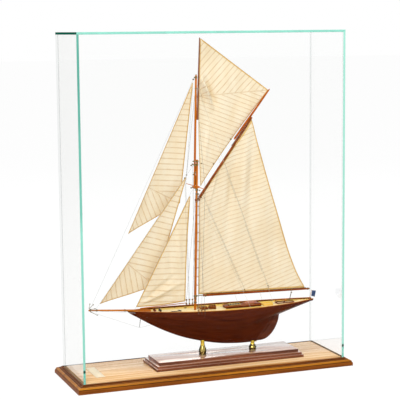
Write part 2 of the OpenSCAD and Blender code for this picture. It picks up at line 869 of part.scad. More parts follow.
// Stays run about a millimetre ahead of the luffs
module stays() {
    masthead_gap = 3.2;
    color("gainsboro") {
        rod(at(-164.5, 153.8), at(-26.6, 412.9), wire_d);
        rod(at(-254.6, 161.3), at(-23.6, 468), wire_d);
        rod(on_sprit(0.975) + [0, 0, 3], at(topmast_x(666) - masthead_gap, 666), wire_d);
        rod(on_sprit(0.975) - [0, 0, 3.1], striker_end - [0.4, 0, 0.6], wire_d);
        rod(striker_end + [0.6, 0, -0.9], at(-126.6, 114.3), wire_d);
        both_sides()
            rod(on_sprit(0.975) - [0, 3.1, 0], [-166, -hull_y(-166, 146) - 0.5, 146], wire_d);
    }
}

module running_rigging() {
    block_d = 3.2;
    block_t = 1.6;
    color("gainsboro")
        both_sides() {
            a_foot = [runner_x[0], -beam(runner_x[0]) + 0.6, rail_z(runner_x[0]) + 1.4];
            b_foot = [runner_x[1], -beam(runner_x[1]) + 0.6, rail_z(runner_x[1]) + 1.4];
            a_top = [mast_x(404) + 1, -3.5, 404];
            b_top = [topmast_x(650) + 0.5, -2.6, 650];
            a_block = a_foot + (a_top - a_foot) * 0.16;
            b_block = b_foot + (b_top - b_foot) * 0.1;
            rod(a_foot, a_block, rope_d);
            rod(b_foot, b_block, rope_d);
            rod(a_block + (a_top - a_foot) * 0.015, a_top, rope_d);
            rod(b_block + (b_top - b_foot) * 0.008, b_top, rope_d);
            for (block = [a_block, b_block])
                translate(block + [0, 0, 1.2])
                    rotate([90, 0, 0])
                        cylinder(h = block_t, d = block_d, center = true);
        }
}

module mainsheet() {
    color("gainsboro")
        for (y = [-1.2, 1.2])
            rod(at(216.6, 163.4, y), at(213, 142.4, y), rope_d);
}

baseboard();
floor_panel();
base_moulding();
nameplate();
front_glass();
back_glass();
left_glass();
right_glass();
top_glass();
plinth();
pedestals();
pedestal_screws();
keel();
port_planking();
starboard_planking();
transom();
bulkheads();
deck();
cap_rail();
rudder_gudgeons();
rudder_blade();
rudder_stock();
tiller();
bitts();
windlass();
anchor();
fore_hatch();
fore_skylight();
cabin_trunk();
skylight();
tender();
companion();
cockpit_coaming();
helm_coaming();
cleats();
ensign_staff();
ensign();
bowsprit();
bowsprit_irons();
dolphin_striker();
lower_mast();
topmast();
mast_irons();
crosstrees();
boom();
boom_irons();
gaff();
topsail_yard();
jackyard();
mast_hoops();
club_boom();
mainsail();
topsail();
staysail();
jib();
jib_topsail();
shrouds();
stays();
running_rigging();
mainsheet();
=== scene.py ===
"""Looks of a model sailing ship in its glass case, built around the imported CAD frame.

Lengths are millimetres in the frame's axes until a mesh is made. The camera, lights and materials use metres.
The bow points to -X and the port side to -Y."""
import math

import bmesh
import bpy
from mathutils import Matrix, Vector


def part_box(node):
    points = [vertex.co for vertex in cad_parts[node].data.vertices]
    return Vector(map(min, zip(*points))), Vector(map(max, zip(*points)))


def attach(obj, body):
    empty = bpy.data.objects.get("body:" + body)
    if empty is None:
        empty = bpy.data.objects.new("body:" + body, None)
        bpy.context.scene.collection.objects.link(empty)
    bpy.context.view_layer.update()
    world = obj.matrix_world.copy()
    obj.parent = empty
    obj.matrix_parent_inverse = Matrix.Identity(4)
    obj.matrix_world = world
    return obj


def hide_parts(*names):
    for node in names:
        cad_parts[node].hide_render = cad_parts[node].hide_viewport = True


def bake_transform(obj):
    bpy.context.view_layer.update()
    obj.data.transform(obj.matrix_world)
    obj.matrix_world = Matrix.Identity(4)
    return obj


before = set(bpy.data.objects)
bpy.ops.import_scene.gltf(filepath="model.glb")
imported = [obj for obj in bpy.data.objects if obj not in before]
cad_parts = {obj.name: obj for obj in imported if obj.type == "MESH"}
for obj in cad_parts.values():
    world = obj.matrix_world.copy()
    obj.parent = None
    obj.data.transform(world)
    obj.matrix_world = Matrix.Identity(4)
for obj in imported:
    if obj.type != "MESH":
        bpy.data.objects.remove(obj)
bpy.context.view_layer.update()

MM = 0.001
HULL = "stand_and_hull"
COVER = "glass_cover"
RUDDER = "rudder"
RIG = "main_rig"
STAYSAIL = "fore_staysail"
SIDES = (-1, 1)


# ---- Camera, stage and light ----
# The camera was fitted to the corners of the glass box: azimuth, pitch and roll in degrees, place in metres
CAMERA_TURN = (-20.572, 7.46, -0.53)
CAMERA_PLACE = (-1.02825, -2.71898, 0.77005)
SENSOR, LENS = 36, 117.475
FLOOR_REACH, FLOOR_TONE, FLOOR_GLOW = 30, 0.12, 0.91
# The background as it is seen, and as a light on matt surfaces
BACKDROP, AMBIENT = 1.0, 0.6
# Name, place, target, diameter and power
LIGHTS = (("key", (-1.9, -2.9, 2.3), (0, 0, 0.35), 1.1, 60),
          ("top", (0.1, -0.5, 3.1), (0, 0, 0.1), 1.7, 34),
          ("fill", (2.8, -1.8, 1.2), (0, 0, 0.3), 1.0, 10),
          ("back", (1.2, 2.8, 2.4), (0, 0, 0.3), 1.6, 14))


def make_camera():
    """A camera at the fitted place, rolled a little."""
    azimuth, pitch, roll = (math.radians(a) for a in CAMERA_TURN)
    level_share = math.cos(pitch)
    back = Vector((math.sin(azimuth) * level_share, -math.cos(azimuth) * level_share, math.sin(pitch)))
    level = (-back).cross(Vector((0, 0, 1))).normalized()
    rise = level.cross(-back)
    right = level * math.cos(roll) + rise * math.sin(roll)
    up = rise * math.cos(roll) - level * math.sin(roll)
    data = bpy.data.cameras.new("camera")
    data.sensor_width = SENSOR
    data.lens = LENS
    camera = bpy.data.objects.new("camera", data)
    camera.matrix_world = Matrix.Translation(CAMERA_PLACE) @ Matrix((right, up, back)).transposed().to_4x4()
    bpy.context.collection.objects.link(camera)
    bpy.context.scene.camera = camera


def area_light(name, place, target, size, power):
    """A round lamp aimed at a point, in metres and watts."""
    data = bpy.data.lights.new(name, "AREA")
    data.shape = "DISK"
    data.size = size
    data.energy = power
    lamp = bpy.data.objects.new(name, data)
    lamp.location = place
    lamp.rotation_mode = "QUATERNION"
    lamp.rotation_quaternion = (Vector(target) - Vector(place)).to_track_quat("-Z", "Y")
    bpy.context.collection.objects.link(lamp)


def make_floor():
    """A pale sheet that glows enough to meet the backdrop without a horizon."""
    floor_mesh = bpy.data.meshes.new("floor")
    corners = [(FLOOR_REACH * x, FLOOR_REACH * y, 0) for x, y in ((-1, -1), (1, -1), (1, 1), (-1, 1))]
    floor_mesh.from_pydata(corners, [], [(0, 1, 2, 3)])
    floor = bpy.data.objects.new("floor", floor_mesh)
    paper = bpy.data.materials.new("floor_paper")
    paper.use_nodes = True
    shader = paper.node_tree.nodes["Principled BSDF"]
    for socket, value in {"Base Color": (FLOOR_TONE, FLOOR_TONE, FLOOR_TONE, 1), "Roughness": 1,
                          "Specular IOR Level": 0, "Emission Color": (1, 1, 1, 1),
                          "Emission Strength": FLOOR_GLOW}.items():
        shader.inputs[socket].default_value = value
    floor_mesh.materials.append(paper)
    bpy.context.collection.objects.link(floor)


def make_studio():
    """The backdrop, which is dimmer as a light than it looks, and the lamps."""
    world = bpy.data.worlds.new("studio")
    world.use_nodes = True
    nodes, links = world.node_tree.nodes, world.node_tree.links
    seen = nodes.new("ShaderNodeLightPath")
    strength = nodes.new("ShaderNodeMapRange")
    links.new(seen.outputs["Is Diffuse Ray"], strength.inputs["Value"])
    strength.inputs["To Min"].default_value = BACKDROP
    strength.inputs["To Max"].default_value = AMBIENT
    nodes["Background"].inputs["Color"].default_value = (1, 1, 1, 1)
    links.new(strength.outputs[0], nodes["Background"].inputs["Strength"])
    bpy.context.scene.world = world
    bpy.context.scene.view_settings.view_transform = "Standard"
    for light in LIGHTS:
        area_light(*light)


# ---- Materials ----
class Graph:
    """A material's node tree with one Principled shader, and short ways to add nodes to it."""

    def __init__(self, name, rough=0.5, **settings):
        self.material = bpy.data.materials.new(name)
        self.material.use_nodes = True
        self.tree = self.material.node_tree
        self.shader = self.tree.nodes["Principled BSDF"]
        self.put(self.shader.inputs["Roughness"], rough)
        for key, value in settings.items():
            self.put(self.shader.inputs[key.replace("_", " ")], value)

    def put(self, socket, value):
        if isinstance(value, bpy.types.NodeSocket):
            self.tree.links.new(value, socket)
        else:
            socket.default_value = value

    def node(self, kind, inputs, **settings):
        made = self.tree.nodes.new("ShaderNode" + kind)
        for key, value in settings.items():
            setattr(made, key, value)
        for key, value in inputs.items():
            self.put(made.inputs[key], value)
        return made

    def place(self, source="Object"):
        return self.node("TexCoord", {}).outputs[source]

    def uv(self):
        split = self.node("SeparateXYZ", {0: self.place("UV")})
        return split.outputs[0], split.outputs[1]

    def math(self, operation, a, b=0.0, c=0.0):
        return self.node("Math", {0: a, 1: b, 2: c}, operation=operation).outputs[0]

    def scaled(self, vector, scale, turn=(0, 0, 0)):
        return self.node("Mapping", {"Vector": vector, "Scale": scale, "Rotation": turn}).outputs[0]

    def noise(self, vector, scale=1.0, detail=3.0, rough=0.55):
        made = self.node("TexNoise", {"Vector": vector, "Scale": scale, "Detail": detail, "Roughness": rough})
        return made.outputs[0]

    def random(self, value):
        return self.node("TexWhiteNoise", {"W": value}, noise_dimensions="1D").outputs[0]

    def from_middle(self, value):
        """How far a value's fractional part is from one half."""
        return self.math("ABSOLUTE", self.math("SUBTRACT", self.math("FRACT", value), 0.5))

    def height(self):
        return self.node("SeparateXYZ", {0: self.place()}).outputs[2]

    def range(self, value, low, high, to_low=0.0, to_high=1.0):
        return self.node("MapRange", {"Value": value, "From Min": low, "From Max": high, "To Min": to_low,
                                      "To Max": to_high}).outputs[0]

    def mix(self, share, a, b):
        made = self.node("Mix", {}, data_type="RGBA")
        self.put(made.inputs[0], share)
        self.put(made.inputs[6], a if isinstance(a, bpy.types.NodeSocket) else (*a, 1))
        self.put(made.inputs[7], b if isinstance(b, bpy.types.NodeSocket) else (*b, 1))
        return made.outputs[2]

    def colour(self, value):
        self.put(self.shader.inputs["Base Color"], value)

    def bump(self, height, distance, strength=1.0):
        made = self.node("Bump", {"Height": height, "Distance": distance, "Strength": strength})
        self.put(self.shader.inputs["Normal"], made.outputs[0])

    def surface(self, share, a, b):
        """Makes the surface a blend of two shader nodes."""
        both = self.node("MixShader", {0: share, 1: a.outputs[0], 2: b.outputs[0]})
        self.put(self.tree.nodes["Material Output"].inputs["Surface"], both.outputs[0])


X_GRAIN = (12, 260, 260)
Z_GRAIN = (260, 260, 12)


def wood(name, dark, light, grain, rough, coat, turn=0.0, pores=0.5, shine=0.12):
    """Grain streaks stretched along one axis, fine pores and a varnish coat."""
    g = Graph(name, rough, Coat_Weight=coat, Coat_Roughness=0.08, Specular_IOR_Level=shine)
    place = g.scaled(g.place(), grain, (0, turn, 0))
    figure = g.noise(place, 0.5, 4)
    fibre = g.noise(place, 6.0, 3)
    g.colour(g.mix(g.range(fibre, 0.55, 0.8, 0, pores),
                   g.mix(g.range(figure, 0.3, 0.7), dark, light), tuple(c * 0.45 for c in dark)))
    g.put(g.shader.inputs["Roughness"], g.range(fibre, 0.3, 0.7, rough * 0.8, rough * 1.25))
    g.bump(fibre, 0.00006)
    return g.material


def hull_planks():
    """Glossy mahogany strakes: u runs along the hull in metres and v counts the planks."""
    g = Graph("hull_planks", 0.25, Specular_IOR_Level=0.08)
    along, across = g.uv()
    plank = g.math("FLOOR", across)
    tone = g.random(plank)
    streak = g.noise(g.node("CombineXYZ", {0: g.math("MULTIPLY", along, 22), 1: g.math("MULTIPLY", across, 5),
                                           2: g.math("MULTIPLY", plank, 7.3)}).outputs[0], 1, 5, 0.6)
    base = g.mix(g.range(streak, 0.38, 0.62), (0.020, 0.0022, 0.0004), (0.175, 0.026, 0.0034))
    base = g.mix(g.math("MULTIPLY", tone, 0.4), base, (0.080, 0.012, 0.0018))
    # Darker towards the bottom of the hull: painted shade.
    base = g.mix(g.range(g.height(), 0.142, 0.118, 0, 0.38), base, (0.030, 0.003, 0.0002))
    edge = g.from_middle(across)
    g.colour(g.mix(g.range(edge, 0.45, 0.5, 0, 0.6), base, (0.014, 0.002, 0.001)))
    g.bump(streak, 0.00004)
    return g.material


DECK_PLANK = 0.0027


def deck_planks():
    """Narrow laid planks with fine caulking along the deck."""
    g = Graph("deck_planks", 0.4, Specular_IOR_Level=0.1)
    place = g.place()
    split = g.node("SeparateXYZ", {0: place})
    row = g.math("DIVIDE", split.outputs[1], DECK_PLANK)
    tone = g.random(g.math("FLOOR", row))
    streak = g.noise(g.scaled(place, (25, 400, 400)), 1, 4)
    base = g.mix(g.range(streak, 0.3, 0.7), (0.92, 0.67, 0.27), (1.0, 0.87, 0.47))
    base = g.mix(g.math("MULTIPLY", tone, 0.3), base, (0.98, 0.86, 0.52))
    edge = g.from_middle(row)
    g.colour(g.mix(g.range(edge, 0.42, 0.48, 0, 0.45), base, (0.22, 0.10, 0.02)))
    g.bump(edge, 0.0001, -0.4)
    return g.material


def sailcloth(name, cloth, shade, seam, line):
    """Cotton in narrow panels: u counts the panels and v is the millimetres from the mitre seam."""
    g = Graph(name, 0.85, Specular_IOR_Level=0.1, Sheen_Weight=0.1)
    across, mitre = g.uv()
    place = g.place()
    waver = g.noise(g.scaled(place, (60, 60, 60)), 1, 3)
    across = g.math("ADD", across, g.math("MULTIPLY", g.math("SUBTRACT", waver, 0.5), 0.10))
    shifted = g.math("ADD", across, 0.5)
    seams = g.range(g.from_middle(shifted), 0.14, 0.03)
    seams = g.math("MAXIMUM", seams, g.range(g.math("ABSOLUTE", mitre), 1.0, 0.6))
    uneven = g.noise(g.scaled(place, (90, 90, 90)), 1, 2)
    seams = g.math("MULTIPLY", seams, g.range(uneven, 0.3, 0.62, 0.45, 1.0))
    # The stretched mottle is painted shade: soft bands where the cloth turns towards the darker colour.
    mottle = g.noise(g.scaled(place, (30, 18, 12)), 1, 4, 0.6)
    weave = g.noise(g.scaled(place, (2600, 2600, 900)), 1, 2)
    tone = g.random(g.math("FLOOR", shifted))
    base = g.mix(g.range(mottle, 0.38, 0.68), cloth, shade)
    base = g.mix(g.math("MULTIPLY", tone, 0.25), base, shade)
    base = g.mix(g.range(weave, 0.3, 0.75, 0, 0.15), base, shade)
    colour = g.mix(g.math("MULTIPLY", seams, line), base, seam)
    g.colour(colour)
    g.bump(g.math("ADD", g.math("MULTIPLY", seams, 0.6), g.math("MULTIPLY", weave, 0.3)), 0.00025)
    thin = g.node("BsdfTranslucent", {"Color": colour})
    g.surface(0.2, g.shader, thin)
    return g.material


def metal(name, colour, painted_rim_reflection, rough, metallic=1.0, spots=0.12, reach=(0.25, 0.75)):
    """Metal whose colour darkens towards its outline: a painted reflection of the room."""
    g = Graph(name, rough, Metallic=metallic)
    wear = g.noise(g.scaled(g.place(), (220, 220, 220)), 1, 4)
    facing = g.node("LayerWeight", {"Blend": 0.5}).outputs[1]
    base = g.mix(g.range(wear, 0.4, 0.75, 0, 1), colour, tuple(c * (1 - 3 * spots) for c in colour))
    g.colour(g.mix(g.range(facing, *reach), base, painted_rim_reflection))
    g.put(g.shader.inputs["Roughness"], g.range(wear, 0.3, 0.7, rough, rough + spots))
    g.bump(wear, 0.00005)
    return g.material


def cord(name, light, dark):
    """Laid rope with fine diagonal strands."""
    g = Graph(name, 0.9, Sheen_Weight=0.2)
    lay = g.node("TexWave", {"Vector": g.scaled(g.place(), (1, 1, 1.4)), "Scale": 420.0, "Distortion": 2.0},
                 wave_type="BANDS", bands_direction="DIAGONAL").outputs[1]
    g.colour(g.mix(lay, light, dark))
    g.bump(lay, 0.00008)
    return g.material


def glass_face(name, tint):
    """Clear thin glass that mirrors the room at a glancing angle."""
    g = Graph(name, 0.02)
    clear = g.node("BsdfTransparent", {"Color": tint})
    mirror = g.node("BsdfGlossy", {"Color": (1, 1, 1, 1), "Roughness": 0.02})
    facing = g.node("LayerWeight", {"Blend": 0.5}).outputs[1]
    share = g.math("MULTIPLY", g.math("POWER", facing, 3), 0.55)
    g.surface(share, clear, mirror)
    return g.material


def faint_edge(name, share):
    """Far edges, which show as a thin grey line."""
    g = Graph(name, 0.3)
    clear = g.node("BsdfTransparent", {"Color": (0.96, 0.97, 0.97, 1)})
    grey = g.node("BsdfDiffuse", {"Color": (0.42, 0.46, 0.45, 1)})
    g.surface(share, clear, grey)
    return g.material


def glass_edge(name, low, high, change, foot=False):
    """Polished edge: one colour low down and another above a height, with mottling near the foot and a dark
    band across its top, a painted reflection of the plinth.
    """
    g = Graph(name, 0.6, Specular_IOR_Level=0.0)
    place = g.place()
    height = g.height()
    base = g.mix(g.range(height, change - 0.02, change + 0.02), low, high)
    streak = g.noise(g.scaled(place, (40, 40, 5)), 1, 3)
    base = g.mix(g.range(streak, 0.35, 0.65, 0, 0.35), base, tuple(min(1, c * 1.3) for c in low))
    if foot:
        # A dark band a few millimetres high: painted reflection of the plinth.
        band = g.math("MULTIPLY", g.range(height, 0.041, 0.044), g.range(height, 0.050, 0.047))
        speckle = g.noise(g.scaled(place, (300, 300, 420)), 1, 3)
        base = g.mix(g.math("MULTIPLY", g.range(speckle, 0.5, 0.58), g.range(height, 0.046, 0.044)), base,
                     (0.05, 0.42, 0.32))
        base = g.mix(band, base, (0.004, 0.06, 0.04))
    g.colour(base)
    return g.material


def plain(name, colour, rough, detail, coat=0.0):
    """Painted or moulded surface with slight mottling."""
    g = Graph(name, rough, Coat_Weight=coat, Specular_IOR_Level=0.1)
    mottle = g.noise(g.scaled(g.place(), (detail, detail, detail)), 1, 4)
    g.colour(g.mix(g.range(mottle, 0.3, 0.7), tuple(c * 0.88 for c in colour), colour))
    g.bump(mottle, 0.00004)
    return g.material


def ensign_cloth():
    g = Graph("ensign_cloth", 0.8, Sheen_Weight=0.3)
    weave = g.noise(g.scaled(g.place(), (3000, 3000, 3000)), 1, 2)
    g.colour(g.mix(g.range(weave, 0.3, 0.7), (0.010, 0.028, 0.085), (0.022, 0.058, 0.16)))
    g.bump(weave, 0.0001)
    return g.material


OAK_FLOOR = wood("oak_floor", (0.70, 0.35, 0.11), (1.0, 0.74, 0.44), X_GRAIN, 0.25, 0.12, pores=0.3)
OAK_MOULDING = wood("oak_moulding", (0.095, 0.021, 0.0015), (0.32, 0.09, 0.009), X_GRAIN, 0.4, 0, shine=0.06)
# The bead and the grooves are lit and shaded copies of the moulding's oak: painted light on the bead, painted
# shade in the grooves.
OAK_BEAD_PAINTED_LIGHT = wood("oak_bead_painted_light", (0.23, 0.068, 0.004), (0.56, 0.21, 0.012), X_GRAIN, 0.3, 0.04, shine=0.08)
OAK_GROOVE_PAINTED_SHADE = wood("oak_groove_painted_shade", (0.012, 0.004, 0.001), (0.045, 0.014, 0.003), X_GRAIN, 0.5, 0)
OAK_CORE = wood("oak_core", (0.40, 0.24, 0.12), (0.60, 0.40, 0.22), X_GRAIN, 0.7, 0.0)
PLINTH = wood("plinth_mahogany", (0.085, 0.023, 0.009), (0.30, 0.098, 0.044), X_GRAIN, 0.3, 0.1)
# The top is a lighter copy of the plinth's mahogany: a painted reflection of the bright room, on top of its
# real gloss.
PLINTH_TOP_PAINTED_REFLECTION = wood("plinth_polished_painted_reflection", (0.42, 0.19, 0.11), (0.80, 0.50, 0.35), X_GRAIN, 0.12, 1.0, pores=0.2,
                  shine=0.6)
SPAR = wood("spar_orange", (0.34, 0.072, 0.003), (0.68, 0.20, 0.012), Z_GRAIN, 0.45, 0, shine=0.05)
SPAR_X = wood("sprit_orange", (0.34, 0.085, 0.008), (0.62, 0.20, 0.025), X_GRAIN, 0.45, 0, shine=0.05)
SPAR_JACK = wood("jackyard_red", (0.26, 0.05, 0.004), (0.55, 0.13, 0.012), X_GRAIN, 0.45, 0, turn=0.9,
                 shine=0.05)
SPAR_RED = wood("spar_red", (0.13, 0.022, 0.001), (0.40, 0.085, 0.006), X_GRAIN, 0.45, 0, shine=0.05)
GAFF_RED = wood("gaff_red", (0.14, 0.028, 0.003), (0.36, 0.085, 0.010), X_GRAIN, 0.4, 0, turn=0.94, shine=0.1)
YARD = wood("yard_brown", (0.12, 0.035, 0.018), (0.28, 0.10, 0.055), Z_GRAIN, 0.4, 0)
RAIL = wood("rail_wood", (0.34, 0.09, 0.010), (0.66, 0.25, 0.030), X_GRAIN, 0.35, 0)
FURNITURE = wood("deck_furniture", (0.07, 0.010, 0.002), (0.25, 0.042, 0.006), X_GRAIN, 0.35, 0)
TRACK = wood("dark_track", (0.02, 0.007, 0.003), (0.09, 0.03, 0.012), X_GRAIN, 0.5, 0)
TRIM = wood("light_trim", (0.88, 0.52, 0.08), (1.0, 0.79, 0.19), X_GRAIN, 0.4, 0)
TENDER = wood("tender_wood", (0.38, 0.12, 0.075), (0.62, 0.27, 0.18), X_GRAIN, 0.3, 0.1)
HULL_WOOD = hull_planks()
KEEL_WOOD = wood("keel_mahogany", (0.050, 0.009, 0.002), (0.15, 0.032, 0.009), X_GRAIN, 0.22, 0.05)
DECK = deck_planks()
CLOTH = sailcloth("sailcloth", (0.96, 0.872, 0.69), (0.915, 0.782, 0.55), (0.66, 0.43, 0.17), 0.66)
TABLING = sailcloth("sail_tabling", (0.86, 0.62, 0.26), (0.72, 0.46, 0.15), (0.55, 0.30, 0.08), 0.5)
BRASS = metal("brass", (0.95, 0.70, 0.25), (0.10, 0.085, 0.02), 0.16)
NECK = metal("pedestal_neck", (0.90, 0.62, 0.08), (0.12, 0.085, 0.012), 0.2, reach=(0.1, 0.5))
# The bell's brass is a darker copy of the neck's brass: painted shade.
BELL_BRASS_PAINTED_SHADE = metal("bell_brass_painted_shade", (0.50, 0.37, 0.11), (0.03, 0.025, 0.008), 0.14, reach=(0.03, 0.32))
STEEL = metal("steel", (0.6, 0.6, 0.6), (0.3, 0.3, 0.3), 0.35)
IRON = metal("black_iron", (0.06, 0.045, 0.03), (0.02, 0.015, 0.01), 0.45, 0.4)
BRONZE = metal("old_bronze", (0.26, 0.19, 0.07), (0.05, 0.04, 0.015), 0.35, 0.8)
CORD = cord("rigging_cord", (0.34, 0.32, 0.27), (0.17, 0.15, 0.12))
PALE_CORD = cord("pale_cord", (0.80, 0.72, 0.55), (0.60, 0.53, 0.40))
DEADEYE = wood("deadeye_wood", (0.24, 0.13, 0.04), (0.42, 0.26, 0.10), Z_GRAIN, 0.45, 0)
WIRE = cord("pale_wire", (0.62, 0.64, 0.62), (0.42, 0.44, 0.43))
TARRED = cord("tarred_cord", (0.20, 0.085, 0.03), (0.07, 0.03, 0.012))
BLOCK_WOOD = wood("block_wood", (0.10, 0.065, 0.02), (0.26, 0.18, 0.07), Z_GRAIN, 0.45, 0.1)
PLATE = plain("nameplate_cream", (0.93, 0.80, 0.58), 0.5, 60)
DARK_WOOD = wood("dark_mahogany", (0.02, 0.006, 0.003), (0.10, 0.025, 0.008), X_GRAIN, 0.35, 0)
PANE = plain("skylight_pane", (0.05, 0.07, 0.11), 0.15, 40, 0.25)
ENSIGN = ensign_cloth()
GLASS = glass_face("glass_face", (0.996, 0.997, 0.996, 1))
GLASS_SHADED = glass_face("glass_face_shaded", (0.957, 0.958, 0.952, 1))
MINT, PALE_MINT = (0.25, 0.60, 0.49), (0.33, 0.66, 0.55)
DEEP_MINT, BOTTLE = (0.10, 0.36, 0.285), (0.006, 0.085, 0.052)
GLASS_LEFT = glass_edge("glass_edge_left", MINT, DEEP_MINT, 0.365, True)
GLASS_RIGHT = glass_edge("glass_edge_right", PALE_MINT, PALE_MINT, 0.4, True)
GLASS_TOP = glass_edge("glass_edge_top", MINT, MINT, 0.4)
GLASS_SIDE = glass_edge("glass_edge_side", BOTTLE, BOTTLE, 0.4)
GLASS_FAR = faint_edge("glass_edge_far", 0.14)
GLASS_CORNER = faint_edge("glass_edge_corner", 0.55)


# ---- Mesh building ----
def lerp(a, b, t):
    return a + (b - a) * t


def at(x, z, y=0.0):
    return Vector((x, y, z))


def hermite(a, b, slope_a, slope_b, span, t):
    return ((2 * t**3 - 3 * t**2 + 1) * a + (t**3 - 2 * t**2 + t) * span * slope_a
            + (3 * t**2 - 2 * t**3) * b + (t**3 - t**2) * span * slope_b)


def through(points):
    """A smooth curve through points, as a function of 0 to 1 by chord length."""
    points = [Vector(p) for p in points]
    marks = [0.0]
    for a, b in zip(points, points[1:]):
        marks.append(marks[-1] + (b - a).length)
    count = len(points)

    def slope(i):
        a, b = max(i - 1, 0), min(i + 1, count - 1)
        return (points[b] - points[a]) / (marks[b] - marks[a])

    def point(t):
        s = min(max(t, 0.0), 1.0) * marks[-1]
        i = next((k for k in range(count - 2) if s < marks[k + 1]), count - 2)
        span = marks[i + 1] - marks[i]
        return hermite(points[i], points[i + 1], slope(i), slope(i + 1), span, (s - marks[i]) / span)

    return point


def round_angles(count):
    """Equal angles round a full turn."""
    return [math.tau * k / count for k in range(count)]


class Shape:
    """Points in millimetres, faces, and a material number for each face."""

    def __init__(self):
        self.points = []
        self.faces = []
        self.kinds = []

    def add(self, points, faces, kind=0):
        start = len(self.points)
        self.points += [tuple(p) for p in points]
        self.faces += [tuple(i + start for i in f) for f in faces]
        self.kinds += [kind] * len(faces)
        return self

    def loft(self, rings, kind=0, caps=True, closed=True):
        n = len(rings[0])
        wide = n if closed else n - 1
        faces = [(i * n + j, i * n + (j + 1) % n, (i + 1) * n + (j + 1) % n, (i + 1) * n + j)
                 for i in range(len(rings) - 1) for j in range(wide)]
        if caps:
            faces += [tuple(range(n)), tuple((len(rings) - 1) * n + j for j in range(n))]
        return self.add([p for ring in rings for p in ring], faces, kind)

    def tube(self, path, radius, sides=8, kind=0, loop=False):
        path = [Vector(p) for p in path]
        radii = radius if isinstance(radius, list) else [radius] * len(path)
        side = None
        rings = []
        for i, p in enumerate(path):
            before = path[i - 1] if i or loop else p
            after = path[(i + 1) % len(path)] if loop or i < len(path) - 1 else p
            ahead = (after - before).normalized()
            if side is None:
                side = ahead.cross(Vector((0, 1, 0)) if abs(ahead.y) < 0.9 else Vector((1, 0, 0)))
            side = (side - ahead * side.dot(ahead)).normalized()
            other = ahead.cross(side)
            rings.append([p + (side * math.cos(a) + other * math.sin(a)) * radii[i]
                          for a in round_angles(sides)])
        if loop:
            rings.append(rings[0])
        return self.loft(rings, kind, caps=not loop)

    def turned(self, profile, base, axis=(0, 0, 1), sides=24, kind=0, squash=(1, 1)):
        """A profile of (radius, height) turned about an axis through base."""
        axis = Vector(axis).normalized()
        side = axis.cross(Vector((1, 0, 0)) if abs(axis.x) < 0.9 else Vector((0, 0, 1))).normalized()
        other = axis.cross(side)
        wide, deep = squash
        spokes = [side * math.cos(a) * wide + other * math.sin(a) * deep for a in round_angles(sides)]
        rings = [[Vector(base) + axis * h + spoke * r for spoke in spokes] for r, h in profile]
        return self.loft(rings, kind)

    def block(self, low, high, chamfer=0.3, kind=0):
        c = min(chamfer, *((b - a) * 0.4 for a, b in zip(low, high)))
        x0, y0, z0 = low
        x1, y1, z1 = high

        def ring(inset, z):
            a, b, d, e = x0 + inset, x1 - inset, y0 + inset, y1 - inset
            return [(a + c, d, z), (b - c, d, z), (b, d + c, z), (b, e - c, z),
                    (b - c, e, z), (a + c, e, z), (a, e - c, z), (a, d + c, z)]

        return self.loft([ring(c, z0), ring(0, z0 + c), ring(0, z1 - c), ring(c, z1)], kind)

    def pulley(self, centre, size=3.2, kind=0):
        r = size / 2
        w = size * 0.26
        profile = [(0.2 * r, -w), (0.85 * r, -w), (r, -0.6 * w), (r, -0.25 * w), (0.75 * r, -0.15 * w),
                   (0.75 * r, 0.15 * w), (r, 0.25 * w), (r, 0.6 * w), (0.85 * r, w), (0.2 * r, w)]
        return self.turned(profile, centre, (0, 1, 0), 14, kind, (1, 1.3))


SHARP_ANGLE, BEVEL_ANGLE = 38, 40


def smoothing():
    """A node group that smooths a mesh everywhere but at its sharp edges."""
    group = bpy.data.node_groups.new("smooth_shading", "GeometryNodeTree")
    for way in ("INPUT", "OUTPUT"):
        group.interface.new_socket("Geometry", in_out=way, socket_type="NodeSocketGeometry")
    start = group.nodes.new("NodeGroupInput")
    end = group.nodes.new("NodeGroupOutput")
    bend = group.nodes.new("GeometryNodeInputMeshEdgeAngle")
    sharp = group.nodes.new("ShaderNodeMath")
    sharp.operation = "GREATER_THAN"
    sharp.inputs[1].default_value = math.radians(SHARP_ANGLE)
    faces = group.nodes.new("GeometryNodeSetShadeSmooth")
    edges = group.nodes.new("GeometryNodeSetShadeSmooth")
    edges.domain = "EDGE"
    edges.inputs["Shade Smooth"].default_value = False
    group.links.new(start.outputs[0], faces.inputs[0])
    group.links.new(faces.outputs[0], edges.inputs[0])
    group.links.new(bend.outputs[0], sharp.inputs[0])
    group.links.new(sharp.outputs[0], edges.inputs["Selection"])
    group.links.new(edges.outputs[0], end.inputs[0])
    return group


SMOOTH = smoothing()


def finish_mesh(obj, bevel=0.0, weld=False):
    if weld:
        obj.modifiers.new("weld", "WELD").merge_threshold = 1e-6
    if bevel:
        chamfer = obj.modifiers.new("bevel", "BEVEL")
        chamfer.width = bevel * MM
        chamfer.segments = 2
        chamfer.limit_method = "ANGLE"
        chamfer.angle_limit = math.radians(BEVEL_ANGLE)
    obj.modifiers.new("smooth", "NODES").node_group = SMOOTH


def piece(name, shape, body, slot, *materials, replaces=(), smooth=True):
    """A new object from a Shape, with its body and the CAD nodes that it stands for. Its slot argument is not
    used.
    """
    mesh = bpy.data.meshes.new(name)
    mesh.from_pydata([[c * MM for c in p] for p in shape.points], [], shape.faces)
    for polygon, kind in zip(mesh.polygons, shape.kinds):
        polygon.material_index = kind
    tidy = bmesh.new()
    tidy.from_mesh(mesh)
    bmesh.ops.recalc_face_normals(tidy, faces=tidy.faces)
    tidy.to_mesh(mesh)
    tidy.free()
    for material in materials:
        mesh.materials.append(material)
    obj = bpy.data.objects.new(name, mesh)
    bpy.context.collection.objects.link(obj)
    if smooth:
        finish_mesh(obj)
    if body:
        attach(obj, body)
    if replaces:
        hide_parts(*replaces)
    return obj


